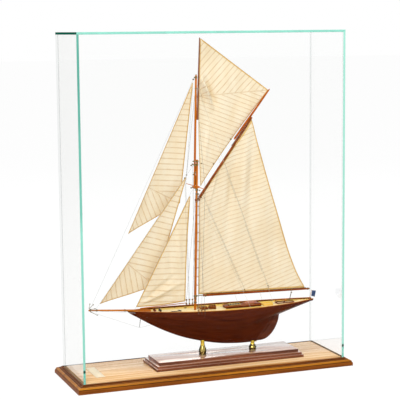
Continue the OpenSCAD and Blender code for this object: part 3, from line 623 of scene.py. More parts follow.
def thicken(cloth, thickness):
    """Gives a smooth sheet its thickness, and returns its area before that."""
    for polygon in cloth.data.polygons:
        polygon.use_smooth = True
    shell = cloth.modifiers.new("thickness", "SOLIDIFY")
    shell.thickness = thickness * MM
    shell.offset = 0
    return sum(polygon.area for polygon in cloth.data.polygons)


def mark_points(obj, name, marks):
    """A UV layer with one (u, v) for each point of the mesh."""
    layer = obj.data.uv_layers.new(name=name)
    for loop in obj.data.loops:
        layer.data[loop.index].uv = marks[loop.vertex_index]


def dress(node, material, bevel):
    """A CAD node kept as it is, with its finish."""
    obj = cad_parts[node]
    obj.data.materials.clear()
    obj.data.materials.append(material)
    finish_mesh(obj, bevel, weld=True)


# ---- Hull lines, as in the CAD model ----
def fair(line, x):
    """The height of a smooth line of (x, value) points at x."""
    i = next((k for k in range(len(line) - 2) if x < line[k + 1][0]), len(line) - 2)

    def slope(k):
        a, b = max(k - 1, 0), min(k + 1, len(line) - 1)
        return (line[b][1] - line[a][1]) / (line[b][0] - line[a][0])

    span = line[i + 1][0] - line[i][0]
    return hermite(line[i][1], line[i + 1][1], slope(i), slope(i + 1), span, (x - line[i][0]) / span)


BOW_X, HEEL_X, POST_X, STERN_X = -181, 124, 168, 268
HEEL_Z, POST_Z = 54, 106.5
KEEL_T, PLANK_T, BULWARK_H = 4, 2, 3
KEEL_LINE = [(-182, 149), (-176, 143.9), (-160, 134.4), (-130, 116.4), (-95, 98), (-55, 81), (-10, 67.5),
             (35, 58), (75, 54), (100, 53.2), (124, 54)]
BILGE_LINE = [(-182, 149), (-150, 129), (-110, 110), (-60, 92), (0, 80), (50, 76), (100, 80), (140, 93),
              (168, 106.5), (200, 117.3), (235, 127.6), (268, 137.2)]
BEAM_LINE = [(-182, 2.5), (-150, 15), (-110, 27), (-60, 36.5), (0, 41.5), (60, 43), (120, 40), (180, 32),
             (230, 20.5), (268, 8)]
FULL_LINE = [(-182, 1.4), (-100, 1.9), (0, 2.6), (100, 2.7), (180, 2.3), (268, 2)]
FLARE_LINE = [(-182, 1.1), (-100, 1.25), (0, 1.35), (100, 1.3), (180, 0.85), (268, 0.6)]
CHEEK_LINE = [(-182, 0.3), (-60, 1.5), (60, 1.5), (124, 0.5), (168, 0.4), (268, 0.4)]


def rail_z(x):
    return 140.3 + (10.7 * ((140 - x) / 322) ** 2 if x < 140 else 2.7 * ((x - 140) / 132) ** 2)


def deck_z(x):
    return rail_z(x) - BULWARK_H


def beam(x):
    return fair(BEAM_LINE, x)


def bottom_z(x):
    if x < HEEL_X:
        return fair(KEEL_LINE, x)
    bilge = fair(BILGE_LINE, x)
    if x < POST_X:
        return min(HEEL_Z + (x - HEEL_X) * (POST_Z - HEEL_Z) / (POST_X - HEEL_X), bilge)
    return bilge


def hull_y(x, z):
    bilge = fair(BILGE_LINE, x)
    s = min(max((z - bilge) / (rail_z(x) - bilge), 0), 1)
    c = beam(x) * (1 - (1 - s) ** fair(FULL_LINE, x)) ** fair(FLARE_LINE, x)
    return math.hypot(c, KEEL_T / 2 + fair(CHEEK_LINE, x))


def mast_x(z):
    return -21.8 + 0.0243 * (z - 150)


def topmast_x(z):
    return mast_x(z) - 5.3


# ---- Hull ----
PLANKS = 18


def planking(side):
    """One side of the hull in strakes with a fine groove between them."""
    xs = [BOW_X]
    for start, end, count in ((BOW_X, HEEL_X, 60), (HEEL_X, POST_X, 14), (POST_X, STERN_X, 24)):
        xs += [lerp(start, end, i / count) for i in range(1, count + 1)]
    groove, groove_depth = 0.055, 0.12
    keel = KEEL_T / 2 + 0.02
    levels = []
    for plank in range(PLANKS):
        levels += [(plank + f, 0.0) for f in (groove, 0.35, 0.65, 1 - groove)]
        levels.append((plank + 1, groove_depth if plank < PLANKS - 1 else 0.0))
    levels.insert(0, (0.0, 0.0))
    shape = Shape()
    marks = []
    rings = []
    for x in xs:
        low, high = bottom_z(x), rail_z(x)
        outer = []
        for v, cut in levels:
            z = lerp(low, high, v / PLANKS)
            round_in = min(1.0, math.sqrt(max(z - low, 0) / 3.5))
            y = max(keel, keel + (hull_y(x, z) - keel) * round_in - cut)
            outer.append((x, side * y, z))
            marks.append((x * MM, v))
        inner = []
        for v in (PLANKS, PLANKS * 0.5, 0.6):
            z = lerp(low, high, v / PLANKS)
            y = hull_y(x, z)
            inner.append((x, side * max(keel, y - PLANK_T * min(max(y / 8, 0.25), 1)), z))
            marks.append((x * MM, v))
        rings.append(outer + inner)
    shape.loft(rings)
    obj = piece("port_planks" if side < 0 else "starboard_planks", shape, HULL, "hull_mahogany", HULL_WOOD,
                replaces=["port_planking" if side < 0 else "starboard_planking"])
    mark_points(obj, "planks", marks)


def strips(x0, x1, steps, section):
    """One strip along each side of the hull: section gives (y, z) points at each of the steps in x."""
    shape = Shape()
    xs = [lerp(x0, x1, i / steps) for i in range(steps + 1)]
    for side in SIDES:
        shape.loft([[(x, side * y, z) for y, z in section(x)] for x in xs])
    return shape


def cap_rail():
    """A rounded rail along both sides, drawn together at the stern."""
    outline = ((-1, 0.05), (1, 0.05), (1.05, 0.5), (0.75, 0.95), (-0.75, 0.95), (-1.05, 0.5))

    def section(x):
        y = beam(x) - 0.75
        half = min(1.5, y * 0.6)
        return [(y + half * u, rail_z(x) + 1.1 * w) for u, w in outline]

    rail = strips(BOW_X - 1, STERN_X + 1.6, 90, section)
    piece("top_rail", rail, HULL, "rail_wood", RAIL, replaces=["cap_rail"])


def inside_y(x):
    """The inner face of the bulwark just above the deck."""
    return hull_y(x, deck_z(x) + 0.4) - PLANK_T


def waterways():
    """Light margin plank inside each bulwark."""
    def section(x):
        y, z = inside_y(x) - 0.1, deck_z(x)
        return [(y - inset, z + up) for inset, up in ((0, 0.02), (2.4, 0.02), (2.2, 0.45), (0, 0.9))]

    piece("waterway", strips(BOW_X + 14, STERN_X - 4, 70, section), HULL, "rail_wood", TRIM)


def margin_planks():
    """Golden covering boards along both sides of the deck, up to the cabin trunk where there is one."""
    cabin_half = 13.6

    def section(x):
        y, z = inside_y(x) - 0.15, deck_z(x)
        inner = cabin_half if 46 < x < 139 else max(y - 19, y * 0.45)
        return [(y, z + 0.02), (inner, z + 0.02), (inner, z + 0.22), (y, z + 0.22)]

    piece("covering_boards", strips(-150, 236, 100, section), HULL, "rail_wood", TRIM)


def rudder():
    """A cambered blade whose top follows the counter, thinning towards its after edge."""
    shape = Shape()
    rows, columns, gap = 26, 7, 0.8
    foot = at(127.2, 55.3)
    aft = through([at(129.5, 54.9), at(142, 55.4), at(152, 58.2), at(162, 64.8), at(171, 74.6), at(178, 86.4),
                   at(183, 98.6), at(185.5, bottom_z(185.5) - gap)])
    front = through([foot, at(150, 81.5), at(170.6, bottom_z(170.6) - gap)])
    rings = []
    for j in range(rows + 1):
        t = j / rows
        a, b = front(t), aft(t)
        ring = []
        for side in (1, -1):
            for k in (range(columns + 1) if side > 0 else range(columns, 0, -1)):
                u = k / columns
                half = 1.9 * (1 - 0.72 * u**1.6)
                p = lerp(a, b, u)
                if t == 1:
                    p.z = bottom_z(p.x) - gap
                ring.append((p.x, side * half, p.z))
        rings.append(ring)
    shape.loft(rings)
    shape.tube([foot, at(170.4, 106)], 1.95, 14)
    piece("cambered_rudder", shape, RUDDER, "rudder_wood", KEEL_WOOD, replaces=["rudder_blade"])


PEDESTAL_X = (-4.8, 118.5)
# Radius, share of the height and millimetres added to it
BELL = [(7.9, 0, 0), (8.3, 0, 0.5), (8.3, 0, 1.4), (7.7, 0, 2.0), (7.8, 0, 2.8), (8.7, 0.17, 0.6),
        (9.0, 0.24, 0), (8.8, 0.32, 0), (8.0, 0.42, 0), (6.8, 0.52, 0), (5.7, 0.61, 0), (5.0, 0.69, 0)]
NECK_TURN = [(5.0, 0.69, 0), (4.5, 0.77, 0), (4.3, 0.86, 0), (4.5, 1, -1.6), (5.0, 1, -1.2), (5.0, 1, -0.2),
             (4.6, 1, 0.2), (4.4, 1, 2.4)]


def pedestals():
    """Two turned brass supports, each with a foot, a bell and a neck."""
    shape = Shape()
    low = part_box("pedestals")[0].z / MM
    for x in PEDESTAL_X:
        h = bottom_z(x) - low
        for kind, profile in enumerate((BELL, NECK_TURN)):
            scaled = [(r, share * h + more) for r, share, more in profile]
            shape.turned(scaled, (x, 0, low), sides=40, kind=kind)
    piece("turned_pedestals", shape, HULL, "brass", BELL_BRASS_PAINTED_SHADE, NECK, replaces=["pedestals"])


def ensign():
    """A small cloth that hangs from its staff in soft waves."""
    top, outer, tail, foot = at(270.3, 161.7), at(280, 160), at(277.2, 145.4), at(268.2, 148.6)
    columns, rows = 14, 20
    shape = Shape()
    grid = []
    for j in range(rows + 1):
        hoist, fly = lerp(top, foot, j / rows), lerp(outer, tail, j / rows)
        grid.append([lerp(hoist, fly, i / columns)
                     + Vector((0, 0.55 * (i / columns) * math.sin(i * 0.75 + j * 0.16), 0))
                     for i in range(columns + 1)])
    shape.loft(grid, caps=False, closed=False)
    cloth = piece("ensign_cloth", shape, HULL, "ensign_cloth", ENSIGN, replaces=["ensign"], smooth=False)
    area = thicken(cloth, 0.3)


# ---- Sails ----
class Sail:
    """A cloth surface between a luff, a leech, a foot and a head, each a list of (x, z) points in its plane.

    upper is the direction across the panels. lower is that below a mitre seam, with the seam's own direction.
    lean turns the plane about the luff towards starboard. A fold is a start, an end, a reach and a height."""

    def __init__(self, luff, leech, foot, head, panel, upper, lower=None, upper_panel=None, lean=0.0,
                 hollow=0.04, laced_foot=False, laced_head=False, folds=()):
        self.luff, self.leech, self.foot, self.head = (
            through([at(*p) for p in edge]) for edge in (luff, leech, foot, head))
        self.panel = panel
        self.upper_panel = upper_panel or panel
        self.clew = at(*leech[0])
        self.upper = at(*upper).normalized()
        self.lower = None
        if lower:
            self.lower, self.mitre = (at(*v).normalized() for v in lower)
        self.origin = at(*luff[0])
        self.axis = (at(*luff[-1]) - self.origin).normalized()
        self.lean = math.radians(lean)
        self.hollow = hollow
        self.laced_foot, self.laced_head = laced_foot, laced_head
        self.folds = folds

    def flat(self, u, v):
        """A point of the flat cut, as a patch between the four edges."""
        corners = lerp(lerp(self.foot(0), self.foot(1), u), lerp(self.head(0), self.head(1), u), v)
        return lerp(self.luff(v), self.leech(v), u) + lerp(self.foot(u), self.head(u), v) - corners

    def depth(self, u, v, p):
        belly = u**0.76
        width = (self.leech(v) - self.luff(v)).length
        d = self.hollow * width * 4 * belly * (1 - belly)
        if self.laced_foot:
            d *= min(1, v / 0.3) ** 0.6
        if self.laced_head:
            d *= min(1, (1 - v) / 0.3) ** 0.6
        for start, end, reach, height in self.folds:
            a, b = at(*start), at(*end)
            t = (p - a).dot(b - a) / (b - a).length_squared
            nearest = lerp(a, b, min(max(t, 0), 1))
            fade = min(max(1.15 - abs(t - 0.45) * 2, 0), 1)
            d += height * math.exp(-((p - nearest).length / reach) ** 2) * fade
        return d

    def point(self, u, v):
        p = self.flat(u, v)
        d = self.depth(u, v, p)
        along = (p - self.origin).dot(self.axis)
        off = self.axis.cross(Vector((0, -1, 0)))
        away = (p - self.origin).dot(off)
        sideways = Vector((0, 1, 0))
        return (self.origin + self.axis * along
                + (off * math.cos(self.lean) + sideways * math.sin(self.lean)) * away
                + (sideways * math.cos(self.lean) - off * math.sin(self.lean)) * d)

    def seams(self, u, v):
        p = self.flat(u, v) - self.clew
        if self.lower is None:
            return p.dot(self.upper) / self.panel, 50.0
        across = Vector((-self.mitre.z, 0, self.mitre.x))
        side = p.dot(across) * (1 if self.upper.dot(across) > 0 else -1)
        if side > 0:
            return p.dot(self.upper) / self.upper_panel, side
        return p.dot(self.lower) / self.panel, side


TAB = 2.6
# The flat width is estimated from the finished cloth's own area, as for a near-triangle. It isn't measured.
WIDTH_RULE, LEAST_WIDTH = 1.9, 11


def inset_steps(edge, count):
    """Shares from 0 to 1 in even steps, with one more step at an inset from each end."""
    return [0.0, edge] + [lerp(edge, 1 - edge, i / count) for i in range(1, count)] + [1 - edge, 1.0]


def set_sail(name, sail, body, node, columns, rows):
    """The cloth with its tabling as a band of faces along the edges, and a bolt rope round it."""
    height = (sail.luff(1) - sail.luff(0)).length
    vs = inset_steps(TAB / height, rows)
    shape = Shape()
    marks = []
    rings = []
    for v in vs:
        width = max((sail.leech(v) - sail.luff(v)).length, 1)
        us = inset_steps(min(TAB / width, 0.3), columns)
        rings.append([sail.point(u, v) for u in us])
        marks += [sail.seams(u, v) for u in us]
    shape.loft(rings, caps=False, closed=False)
    across = len(rings[0]) - 1
    for j in range(len(vs) - 1):
        for i in range(across):
            shape.kinds[j * across + i] = 1 if i in (0, across - 1) or j in (0, len(vs) - 2) else 0
    obj = piece(name, shape, body, "sailcloth", CLOTH, TABLING, replaces=[node], smooth=False)
    mark_points(obj, "panels", marks)
    area = thicken(obj, 0.45)
    rope = Shape()
    long, short = 60, 24
    edges = [sail.point(0, t / long) for t in range(long + 1)]
    edges += [sail.point(t / short, 1) for t in range(1, short + 1)]
    edges += [sail.point(1, 1 - t / long) for t in range(1, long + 1)]
    edges += [sail.point(1 - t / short, 0) for t in range(1, short)]
    rope.tube(edges, 0.42, 6, loop=True)
    bolt = piece(name + "_bolt_rope", rope, body, "sailcloth", TABLING)
    corners = [sail.point(0, 0), sail.point(1, 0), sail.point(1, 1), sail.point(0, 1)]
    length = max((a - b).length for a in corners for b in corners)
    width = min(max(area / MM**2 / length * WIDTH_RULE, LEAST_WIDTH), length)


# ---- Case ----
# The edge finish at a panel's low end along an axis
PANE_EDGES = {("left_glass", 1): GLASS_LEFT, ("right_glass", 1): GLASS_RIGHT, ("top_glass", 1): GLASS_TOP,
              ("top_glass", 0): GLASS_SIDE, ("back_glass", 0): GLASS_CORNER}


def pane(node):
    """A glass panel with ground corners. The edges in PANE_EDGES are coloured and the others are faint."""
    low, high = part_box(node)
    low, high = [c / MM for c in low], [c / MM for c in high]
    thin = min(range(3), key=lambda k: high[k] - low[k])
    shape = Shape().block(low, high, 0.4)
    coloured = {axis: material for (panel, axis), material in PANE_EDGES.items() if panel == node}
    used = [GLASS_SHADED if node == "left_glass" else GLASS, GLASS_FAR, *coloured.values()]
    marks = {axis: used.index(material) for axis, material in coloured.items()}
    for i, face in enumerate(shape.faces):
        corners = [shape.points[k] for k in face]
        spread = [max(c[a] for c in corners) - min(c[a] for c in corners) for a in range(3)]
        if spread[thin] < 0.01:
            shape.kinds[i] = 0
            continue
        shape.kinds[i] = 1
        for axis, mark in marks.items():
            if max(c[axis] for c in corners) < low[axis] + 1:
                shape.kinds[i] = mark
    piece(node + "_pane", shape, COVER, "glass", *used, replaces=[node], smooth=False)


# The moulding's section: out, up and finish, where finish 1 is the bead in painted light and finish 2 the
# grooves in painted shade
PROFILE = [(15.5, 0, 0), (15.5, 5.0, 0), (15.3, 6.6, 0), (14.6, 8.2, 0), (13.6, 8.6, 2), (13.4, 9.3, 2),
           (13.7, 9.9, 1), (13.2, 11.2, 1), (11.9, 12.4, 1), (10.2, 13.3, 1), (8.6, 13.7, 1), (8.0, 13.3, 2),
           (7.2, 13.4, 2), (6.8, 14.3, 0), (5.8, 15.0, 0), (4.4, 15.3, 0), (3.9, 15.0, 2), (3.3, 15.1, 2),
           (3.1, 16.3, 0), (2.5, 17.2, 0), (1.6, 17.8, 2), (0.7, 18.0, 2), (0.7, 0, 0)]


def moulding():
    """The base's moulded edge in four mitred strips."""
    shape = Shape()
    half = [(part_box("front_glass")[1].x + 0.005) / MM, -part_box("front_glass")[0].y / MM]
    for turn in range(4):
        along, deep = half if turn % 2 == 0 else half[::-1]
        cos, sin = math.cos(turn * math.pi / 2), math.sin(turn * math.pi / 2)
        rings = []
        for end in (-1, 1):
            ring = []
            for out, up, _ in PROFILE:
                x, y = end * (along + out), -(deep + out)
                ring.append((x * cos - y * sin, x * sin + y * cos, up))
            rings.append(ring)
        start = len(shape.faces)
        shape.loft(rings)
        for k, (_, _, kind) in enumerate(PROFILE):
            shape.kinds[start + k] = kind
    piece("moulded_edge", shape, HULL, "oak_moulding", OAK_MOULDING, OAK_BEAD_PAINTED_LIGHT, OAK_GROOVE_PAINTED_SHADE,
          replaces=["base_moulding"])


# ---- Fittings ----
BOOM_FORE, BOOM_AFT = at(-2, 171.6), at(263, 166.2)
GAFF_THROAT, GAFF_PEAK = at(-11.3, 393.4), at(119.2, 571.2)
JACK_LOW, JACK_HIGH = at(75.4, 522.7), at(163, 634.3)
SHROUD_X = (-28.3, -21, -13.5)
CROSSTREE_REACH = 61


def masts():
    """Lower mast and topmast with rounded ends, their bands, and the battens between them at the doubling."""
    lower, top, bands = Shape(), Shape(), Shape()
    foot, head = deck_z(mast_x(140)) + 0.05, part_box("lower_mast")[1].z / MM
    heel, peak = (corner.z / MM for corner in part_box("topmast"))
    lower.tube([(mast_x(z), 0, z) for z in (foot, 250, 350, 420, head - 1, head)],
               [2.8, 2.8, 2.75, 2.4, 2.3, 1.6], 24)
    piece("lower_mast_spar", lower, HULL, "spar_light", SPAR, replaces=["lower_mast"])
    top.tube([(topmast_x(z), 0, z) for z in (heel, 474, 482, 580, 640, peak - 1.5, peak - 0.4, peak)],
             [2.1, 2.1, 2.5, 2.45, 2.35, 2.2, 1.6, 0.6], 24)
    piece("topmast_spar", top, HULL, "spar_light", SPAR, replaces=["topmast"])
    for axis_x, inner, rings in (
            (topmast_x, 0.4, ((664, 2.9, 3.2), (640, 2.7, 1.4), (peak - 4, 2.6, 2.6))),
            (mast_x, 0.8, ((165, 3.3, 2.4), (171.4, 3.6, 5), (404, 3.1, 2.6), (414, 3.1, 2.6), (470, 3, 4))),
            (topmast_x, 0.9, ((418, 2.8, 4.0), (452, 2.8, 2.0), (469, 2.8, 4.4)))):
        for z, r, h in rings:
            band = [(r - inner, -h / 2), (r, -h / 2), (r, h / 2), (r - inner, h / 2)]
            bands.turned(band, (axis_x(z), 0, z), sides=20)
    for z0, z1 in ((424, 446), (454, 466)):
        bands.loft([[(topmast_x(z) + 1.9, 0.9, z), (mast_x(z) - 2.1, 0.9, z), (mast_x(z) - 2.1, -0.9, z),
                     (topmast_x(z) + 1.9, -0.9, z)] for z in (z0, z1)], 1)
    bands.tube([(mast_x(171) + 3, 0, 171.4), (mast_x(171) + 9.5, 0, 171.5)], 1.15, 12)
    piece("mast_bands", bands, HULL, "iron", BRONZE, TRACK)


def jackyard():
    """The jackyard and the lashing that holds it along the upper side of the gaff."""
    yard, lashing = Shape(), Shape()
    yard.tube([lerp(JACK_LOW, JACK_HIGH, t) for t in (0, 0.02, 0.3, 0.7, 0.98, 1)],
              [0.8, 2.3, 2.5, 2.2, 1.5, 0.7], 16)
    piece("jackyard_spar", yard, RIG, "spar_light", SPAR_JACK, replaces=["jackyard"])
    gaff = (GAFF_PEAK - GAFF_THROAT).normalized()
    over = Vector((-gaff.z, 0, gaff.x))
    turns = 34
    for i in range(turns):
        share = i / (turns - 1)
        p = lerp(GAFF_THROAT, GAFF_PEAK, 0.64 + 0.33 * share)
        reach = 4.1 - 2.2 * share
        lashing.tube([p + over * 1.8 + gaff * 0.9, p + over * reach + gaff * 0.9 + Vector((0, -0.8, 0)),
                      p + over * reach, p + over * 1.8], 0.55, 5)
    piece("jackyard_lashing", lashing, RIG, "rigging_cord", TARRED)


def shrouds():
    """Shroud wires, and dark deadeyes with lanyards and chainplates at their feet."""
    wires, eyes = Shape(), Shape()
    for side in SIDES:
        for i, x in enumerate(SHROUD_X):
            y = beam(x) - 0.6
            foot = Vector((x, side * y, rail_z(x)))
            upper = foot + Vector((0, -side * 0.4, 12.5))
            for z in (3.1, 12.5):
                eyes.pulley(foot + Vector((0, 0, z)), 3.4)
            for u in (-0.9, 0, 0.9):
                eyes.tube([foot + Vector((u, 0, 4.6)), foot + Vector((u, 0, 11.0))], 0.28, 6)
            plate = side * (y + 1.4)
            eyes.block((x - 0.6, plate - 0.25, foot.z - 6), (x + 0.6, plate + 0.25, foot.z + 1.6), 0.1, 1)
            if i != 1:
                top = Vector((mast_x(408) + (i - 1) * 0.6, side * 4.1, 408 + 2 * i))
                wires.tube([upper + Vector((0, 0, 1.6)), top], 0.3, 6)
        x = SHROUD_X[1]
        tree = Vector((mast_x(419) - 3.6, side * (CROSSTREE_REACH + 1), 420.6))
        wires.tube([Vector((x, side * (beam(x) - 0.6), rail_z(x) + 14.2)), tree], 0.3, 6)
        wires.tube([tree + Vector((0, 0, 1.9)), Vector((topmast_x(640), side * 2.4, 640))], 0.3, 6)
    piece("shroud_wires", wires, HULL, "rigging_cord", CORD, replaces=["shrouds"])
    piece("deadeyes", eyes, HULL, "deck_furniture", DEADEYE, IRON)


def mainsheet():
    """Three parts of rope between a block on the boom and one on the horse."""
    top, foot = at(217.2, 162.2), at(212.2, 143.2)
    rope = Shape()
    for y in (-1.1, 0, 1.1):
        rope.tube([lerp(foot, top, i / 12) + Vector((0, y, 0)) for i in range(13)], 0.34, 6)
    rope.pulley(top + Vector((0, 0, -1.0)), 3.0, 1)
    rope.pulley(foot + Vector((0.3, 0, 1.6)), 3.0, 1)
    obj = piece("sheet_tackle", rope, None, "rigging_cord", TARRED, BLOCK_WOOD, replaces=["mainsheet"])
    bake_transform(obj)


def anchor():
    """A stocked anchor lying on the port side of the foredeck."""
    y, z = -16, deck_z(-85) + 1.4
    shape = Shape()
    shape.tube([(-83.5, y, z), (-80, y, z), (-62, y, z + 0.2)], [0.6, 0.85, 1.0], 10)
    shape.tube([(-81.5, y - 5.5, z), (-81.5, y + 5.5, z)], 0.6, 8)
    for side in SIDES:
        arm = [(-62, y, z + 0.2), (-61.8, y + side * 2.6, z + 0.3), (-63.2, y + side * 5, z + 0.5),
               (-66.6, y + side * 6.6, z + 0.8)]
        shape.tube([through(arm)(t / 8) for t in range(9)], [0.95 - 0.05 * t for t in range(9)], 8)
        fluke = Vector((-65.4, y + side * 6.1, z + 0.7))
        leaf = ((-2.6, 0.36), (-0.4, -1.35), (1.4, 0), (-0.4, 1.35))
        shape.loft([[fluke + Vector((a, side * b, h)) for a, b in leaf] for h in (-0.3, 0.3)])
    ring = [(-85.4 + 1.6 * math.cos(a), y, z + 1.2 * math.sin(a)) for a in round_angles(14)]
    shape.tube(ring, 0.3, 6, loop=True)
    piece("stocked_anchor", shape, HULL, "iron", IRON, replaces=["anchor"])


ROOF_Z = deck_z(49.2) + 0.1 + 3.6 + 0.9


def tender():
    """Upturned clinker boat on the cabin top, with a keel and gunwales."""
    boat, keel = Shape(), Shape()
    x0, y0, z0 = 115, 4.6, ROOF_Z + 0.15
    ribs, arc = 24, 16

    def stations(count):
        return (-1 + 2 * i / count for i in range(count + 1))

    def half(t):
        return 6.2 * math.sqrt(max(1 - abs(t) ** 2.6, 0.003))

    def high(t):
        return 4.5 * math.sqrt(max(1 - abs(t) ** 3.4, 0.01))

    rings = []
    for t in stations(ribs):
        ring = []
        for k in range(arc + 1):
            a = math.pi * k / arc
            lap = 1.0 + 0.035 * (1 if (k // 2) % 2 else -1)
            ring.append((x0 + 18.2 * t, y0 + half(t) * math.cos(a) * (lap if 0 < k < arc else 1),
                         z0 + high(t) * math.sin(a) ** 0.8))
        rings.append(ring)
    boat.loft(rings)
    keel.tube([(x0 + 17.6 * t, y0, z0 + high(t) + 0.25) for t in stations(16)], 0.4, 6)
    for side in SIDES:
        keel.tube([(x0 + 18.1 * t, y0 + side * (half(t) + 0.2), z0 + 0.5) for t in stations(ribs)], 0.45, 6)
    piece("upturned_tender", boat, HULL, "tender_wood", TENDER, replaces=["tender"])
    piece("tender_keel", keel, HULL, "tender_wood", RAIL)


FORE_HOUSE_Z = deck_z(12) + 0.05


def house_tops():
    """Dark roofs and vents of the two small houses abaft the mast."""
    low = FORE_HOUSE_Z
    roof = ((-5.0, 2.6), (5.0, 2.6), (4.8, 6.0), (0, 8.2), (-4.8, 6.0))
    shape = Shape()
    shape.loft([[(x, y, low + up) for y, up in roof] for x in (12.6, 26.4)])
    shape.block((-6.4, -5.2, low + 4.2), (5.2, 5.2, low + 6.8), 0.4)
    for x in (-4.0, 2.8):
        shape.block((x - 0.6, -0.6, low + 6.8), (x + 0.6, 0.6, low + 8.4), 0.2)
    piece("house_tops", shape, HULL, "deck_furniture", DARK_WOOD)


def pin_rail():
    """A rail with seven belaying pins across two posts behind the mast."""
    shape = Shape()
    rack = deck_z(-13)
    pin = [(0.3, -2.4), (0.45, -0.2), (0.75, 0.1), (0.5, 1.0), (0.8, 2.2), (0.3, 2.8)]
    for side in SIDES:
        shape.block((-14, side * 8 - 0.7, rack + 0.1), (-12.6, side * 8 + 0.7, rack + 6.6), 0.25)
    shape.block((-14.2, -9.4, rack + 4.6), (-12.4, 9.4, rack + 5.8), 0.3)
    for k in range(7):
        shape.turned(pin, (-13.3, -6 + 2 * k, rack + 5.8), sides=8, kind=1)
    piece("pin_rail", shape, HULL, "deck_furniture", RAIL, DARK_WOOD)


def house_trim():
    """Varnished rims on the deck houses, and ribs over the one abaft the mast."""
    shape = Shape()
    for x0, x1, half, h in ((-8.6, 7.6, 7.6, 4.4), (49.2, 136.8, 13.3, 4.65)):
        top = max(deck_z(x0), deck_z(x1)) + 0.05 + h
        for side in SIDES:
            y = side * half
            shape.block((x0 - 0.3, y - 0.45, top - 0.55), (x1 + 0.3, y + 0.45, top + 0.25), 0.15)
        for x in (x0, x1):
            shape.block((x - 0.45, -half - 0.3, top - 0.55), (x + 0.45, half + 0.3, top + 0.25), 0.15)
    low, ridge = FORE_HOUSE_Z, FORE_HOUSE_Z + 8.3
    for x in (12.2, 16.9, 21.8, 26.8):
        for side in SIDES:
            shape.tube([(x, side * 5.0, low + 6.0), (x, 0, ridge)], 0.36, 6)
            shape.tube([(x, side * 5.5, low + 0.1), (x, side * 5.1, low + 6.0)], 0.36, 6)
    for side in SIDES:
        for h, y in ((6.0, 5.1), (2.8, 5.6)):
            shape.tube([(11.6, side * y, low + h), (27.4, side * y, low + h)], 0.42, 6)
        shape.tube([(-6.6, side * 5.3, low + 6.8), (5.4, side * 5.3, low + 6.8)], 0.36, 6)
    shape.tube([(11.6, 0, ridge), (27.4, 0, ridge)], 0.42, 6)
    piece("house_trim", shape, HULL, "rail_wood", SPAR_X)


def glazing_bars():
    """Bars and rims over the cabin skylight's panes."""
    shape = Shape()
    z = ROOF_Z + 0.05
    fore, aft, half = 59.5, 86.5, 6.8
    for x in (60, 66.5, 73, 79.5, 86):
        for side in SIDES:
            shape.tube([(x, side * half, z + 1.6), (x, 0, z + 4.25)], 0.38, 6)
    for y, h in ((-half, 1.7), (half, 1.7), (0, 4.35)):
        shape.tube([(fore, y, z + h), (aft, y, z + h)], 0.5, 6)
    piece("glazing_bars", shape, HULL, "rail_wood", TRIM)


def rope_coils():
    """Six turns of rope in each coil, drawn in a little and lying on the deck."""
    shape = Shape()
    per_turn, turns = 12, 6
    for cx, cy, size in ((-30, -26, 3.2), (-38, 22, 3.2), (36, -30, 3.0), (150, -22, 2.6), (190, 18, 2.4)):
        low = deck_z(cx) + 0.45
        path = []
        for k in range(per_turn * turns):
            a, r = math.tau * k / per_turn, size - 0.28 * k / per_turn
            path.append((cx + r * math.cos(a), cy + r * math.sin(a), low + 0.1 * math.sin(k)))
        shape.tube(path, 0.38, 5)
    piece("rope_coils", shape, HULL, "rigging_cord", TARRED)


def handrails():
    """Long rails with posts on the cabin top."""
    rails = Shape()
    top = ROOF_Z + 0.1
    for side in SIDES:
        rails.tube([(52, side * 11.2, top + 1.5), (118, side * 11.2, top + 1.5)], 0.4, 6)
        for x in range(53, 118, 9):
            rails.tube([(x, side * 11.2, top), (x, side * 11.2, top + 1.5)], 0.35, 6)
    piece("cabin_handrails", rails, HULL, "rail_wood", SPAR_X)


def spar_shadow_strip(name, spar, reach, radii, side, rise):
    """A narrow dark strip in short lengths between a spar and the sail's edge, over a share of the spar:
    painted shadow in the gap between them.
    """
    a, b = (lerp(*spar, share) for share in reach)
    shape = Shape()
    direction = (b - a).normalized()
    off = Vector((direction.z, 0, -direction.x)) * side
    steps, share = 60, 0.8
    for i in range(steps):
        t0, t1 = i / steps, (i + share) / steps
        ring = []
        for t in (t0, t1):
            p, r = lerp(a, b, t), lerp(radii[0], radii[1], t)
            ring.append([p + off * (r + up) + Vector((0, y, 0))
                         for up, y in ((-0.3, -0.5), (rise, -0.5), (rise, 0.5), (-0.3, 0.5))])
        shape.loft(ring)
    piece(name, shape, RIG, "iron", TRACK)


# Place and size of each block
MAST_BLOCKS = (((-26.3, -4.5, 471.5), 3.4), ((-24.7, -4.5, 448.6), 2.8), ((-30.7, -6, 419.0), 3.2),
               ((-46.6, -20, 450.1), 2.6), ((-50.9, -20, 443.6), 2.6), ((-26.3, 4.5, 468), 3.2),
               ((-22.5, -4.2, 660), 3.2), ((-13.2, -4.4, 404), 3.2), ((-12.6, -3.8, 392), 2.8),
               ((-19.5, -4.0, 664), 2.6), ((-24.5, -4.5, 478), 3.0), ((-14.6, -4.6, 476), 3.0),
               ((-10.2, -4.4, 412), 2.8))
HALYARDS = (((-46.6, -20, 452), (-24.6, -5, 640)), ((-50.9, -20, 442), (-46, -24, 160)),
            ((-26.3, -4.5, 469.8), (-26.8, -7, 160)), ((-24.7, -4.5, 447), (-25.5, -9, 160)),
            ((-13.2, -4.4, 402), (-16.5, -8, 158)))
SAIL_BLOCKS = (((66.6, -2.6, 524.0), 3.4), ((24.2, -3.6, 469.8), 3.0), ((-4.9, -3.6, 472.3), 2.6),
               ((-6.0, -3.8, 396), 2.8), ((156.2, -4, 182.5), 2.2), ((97.6, -4, 178), 2.0))


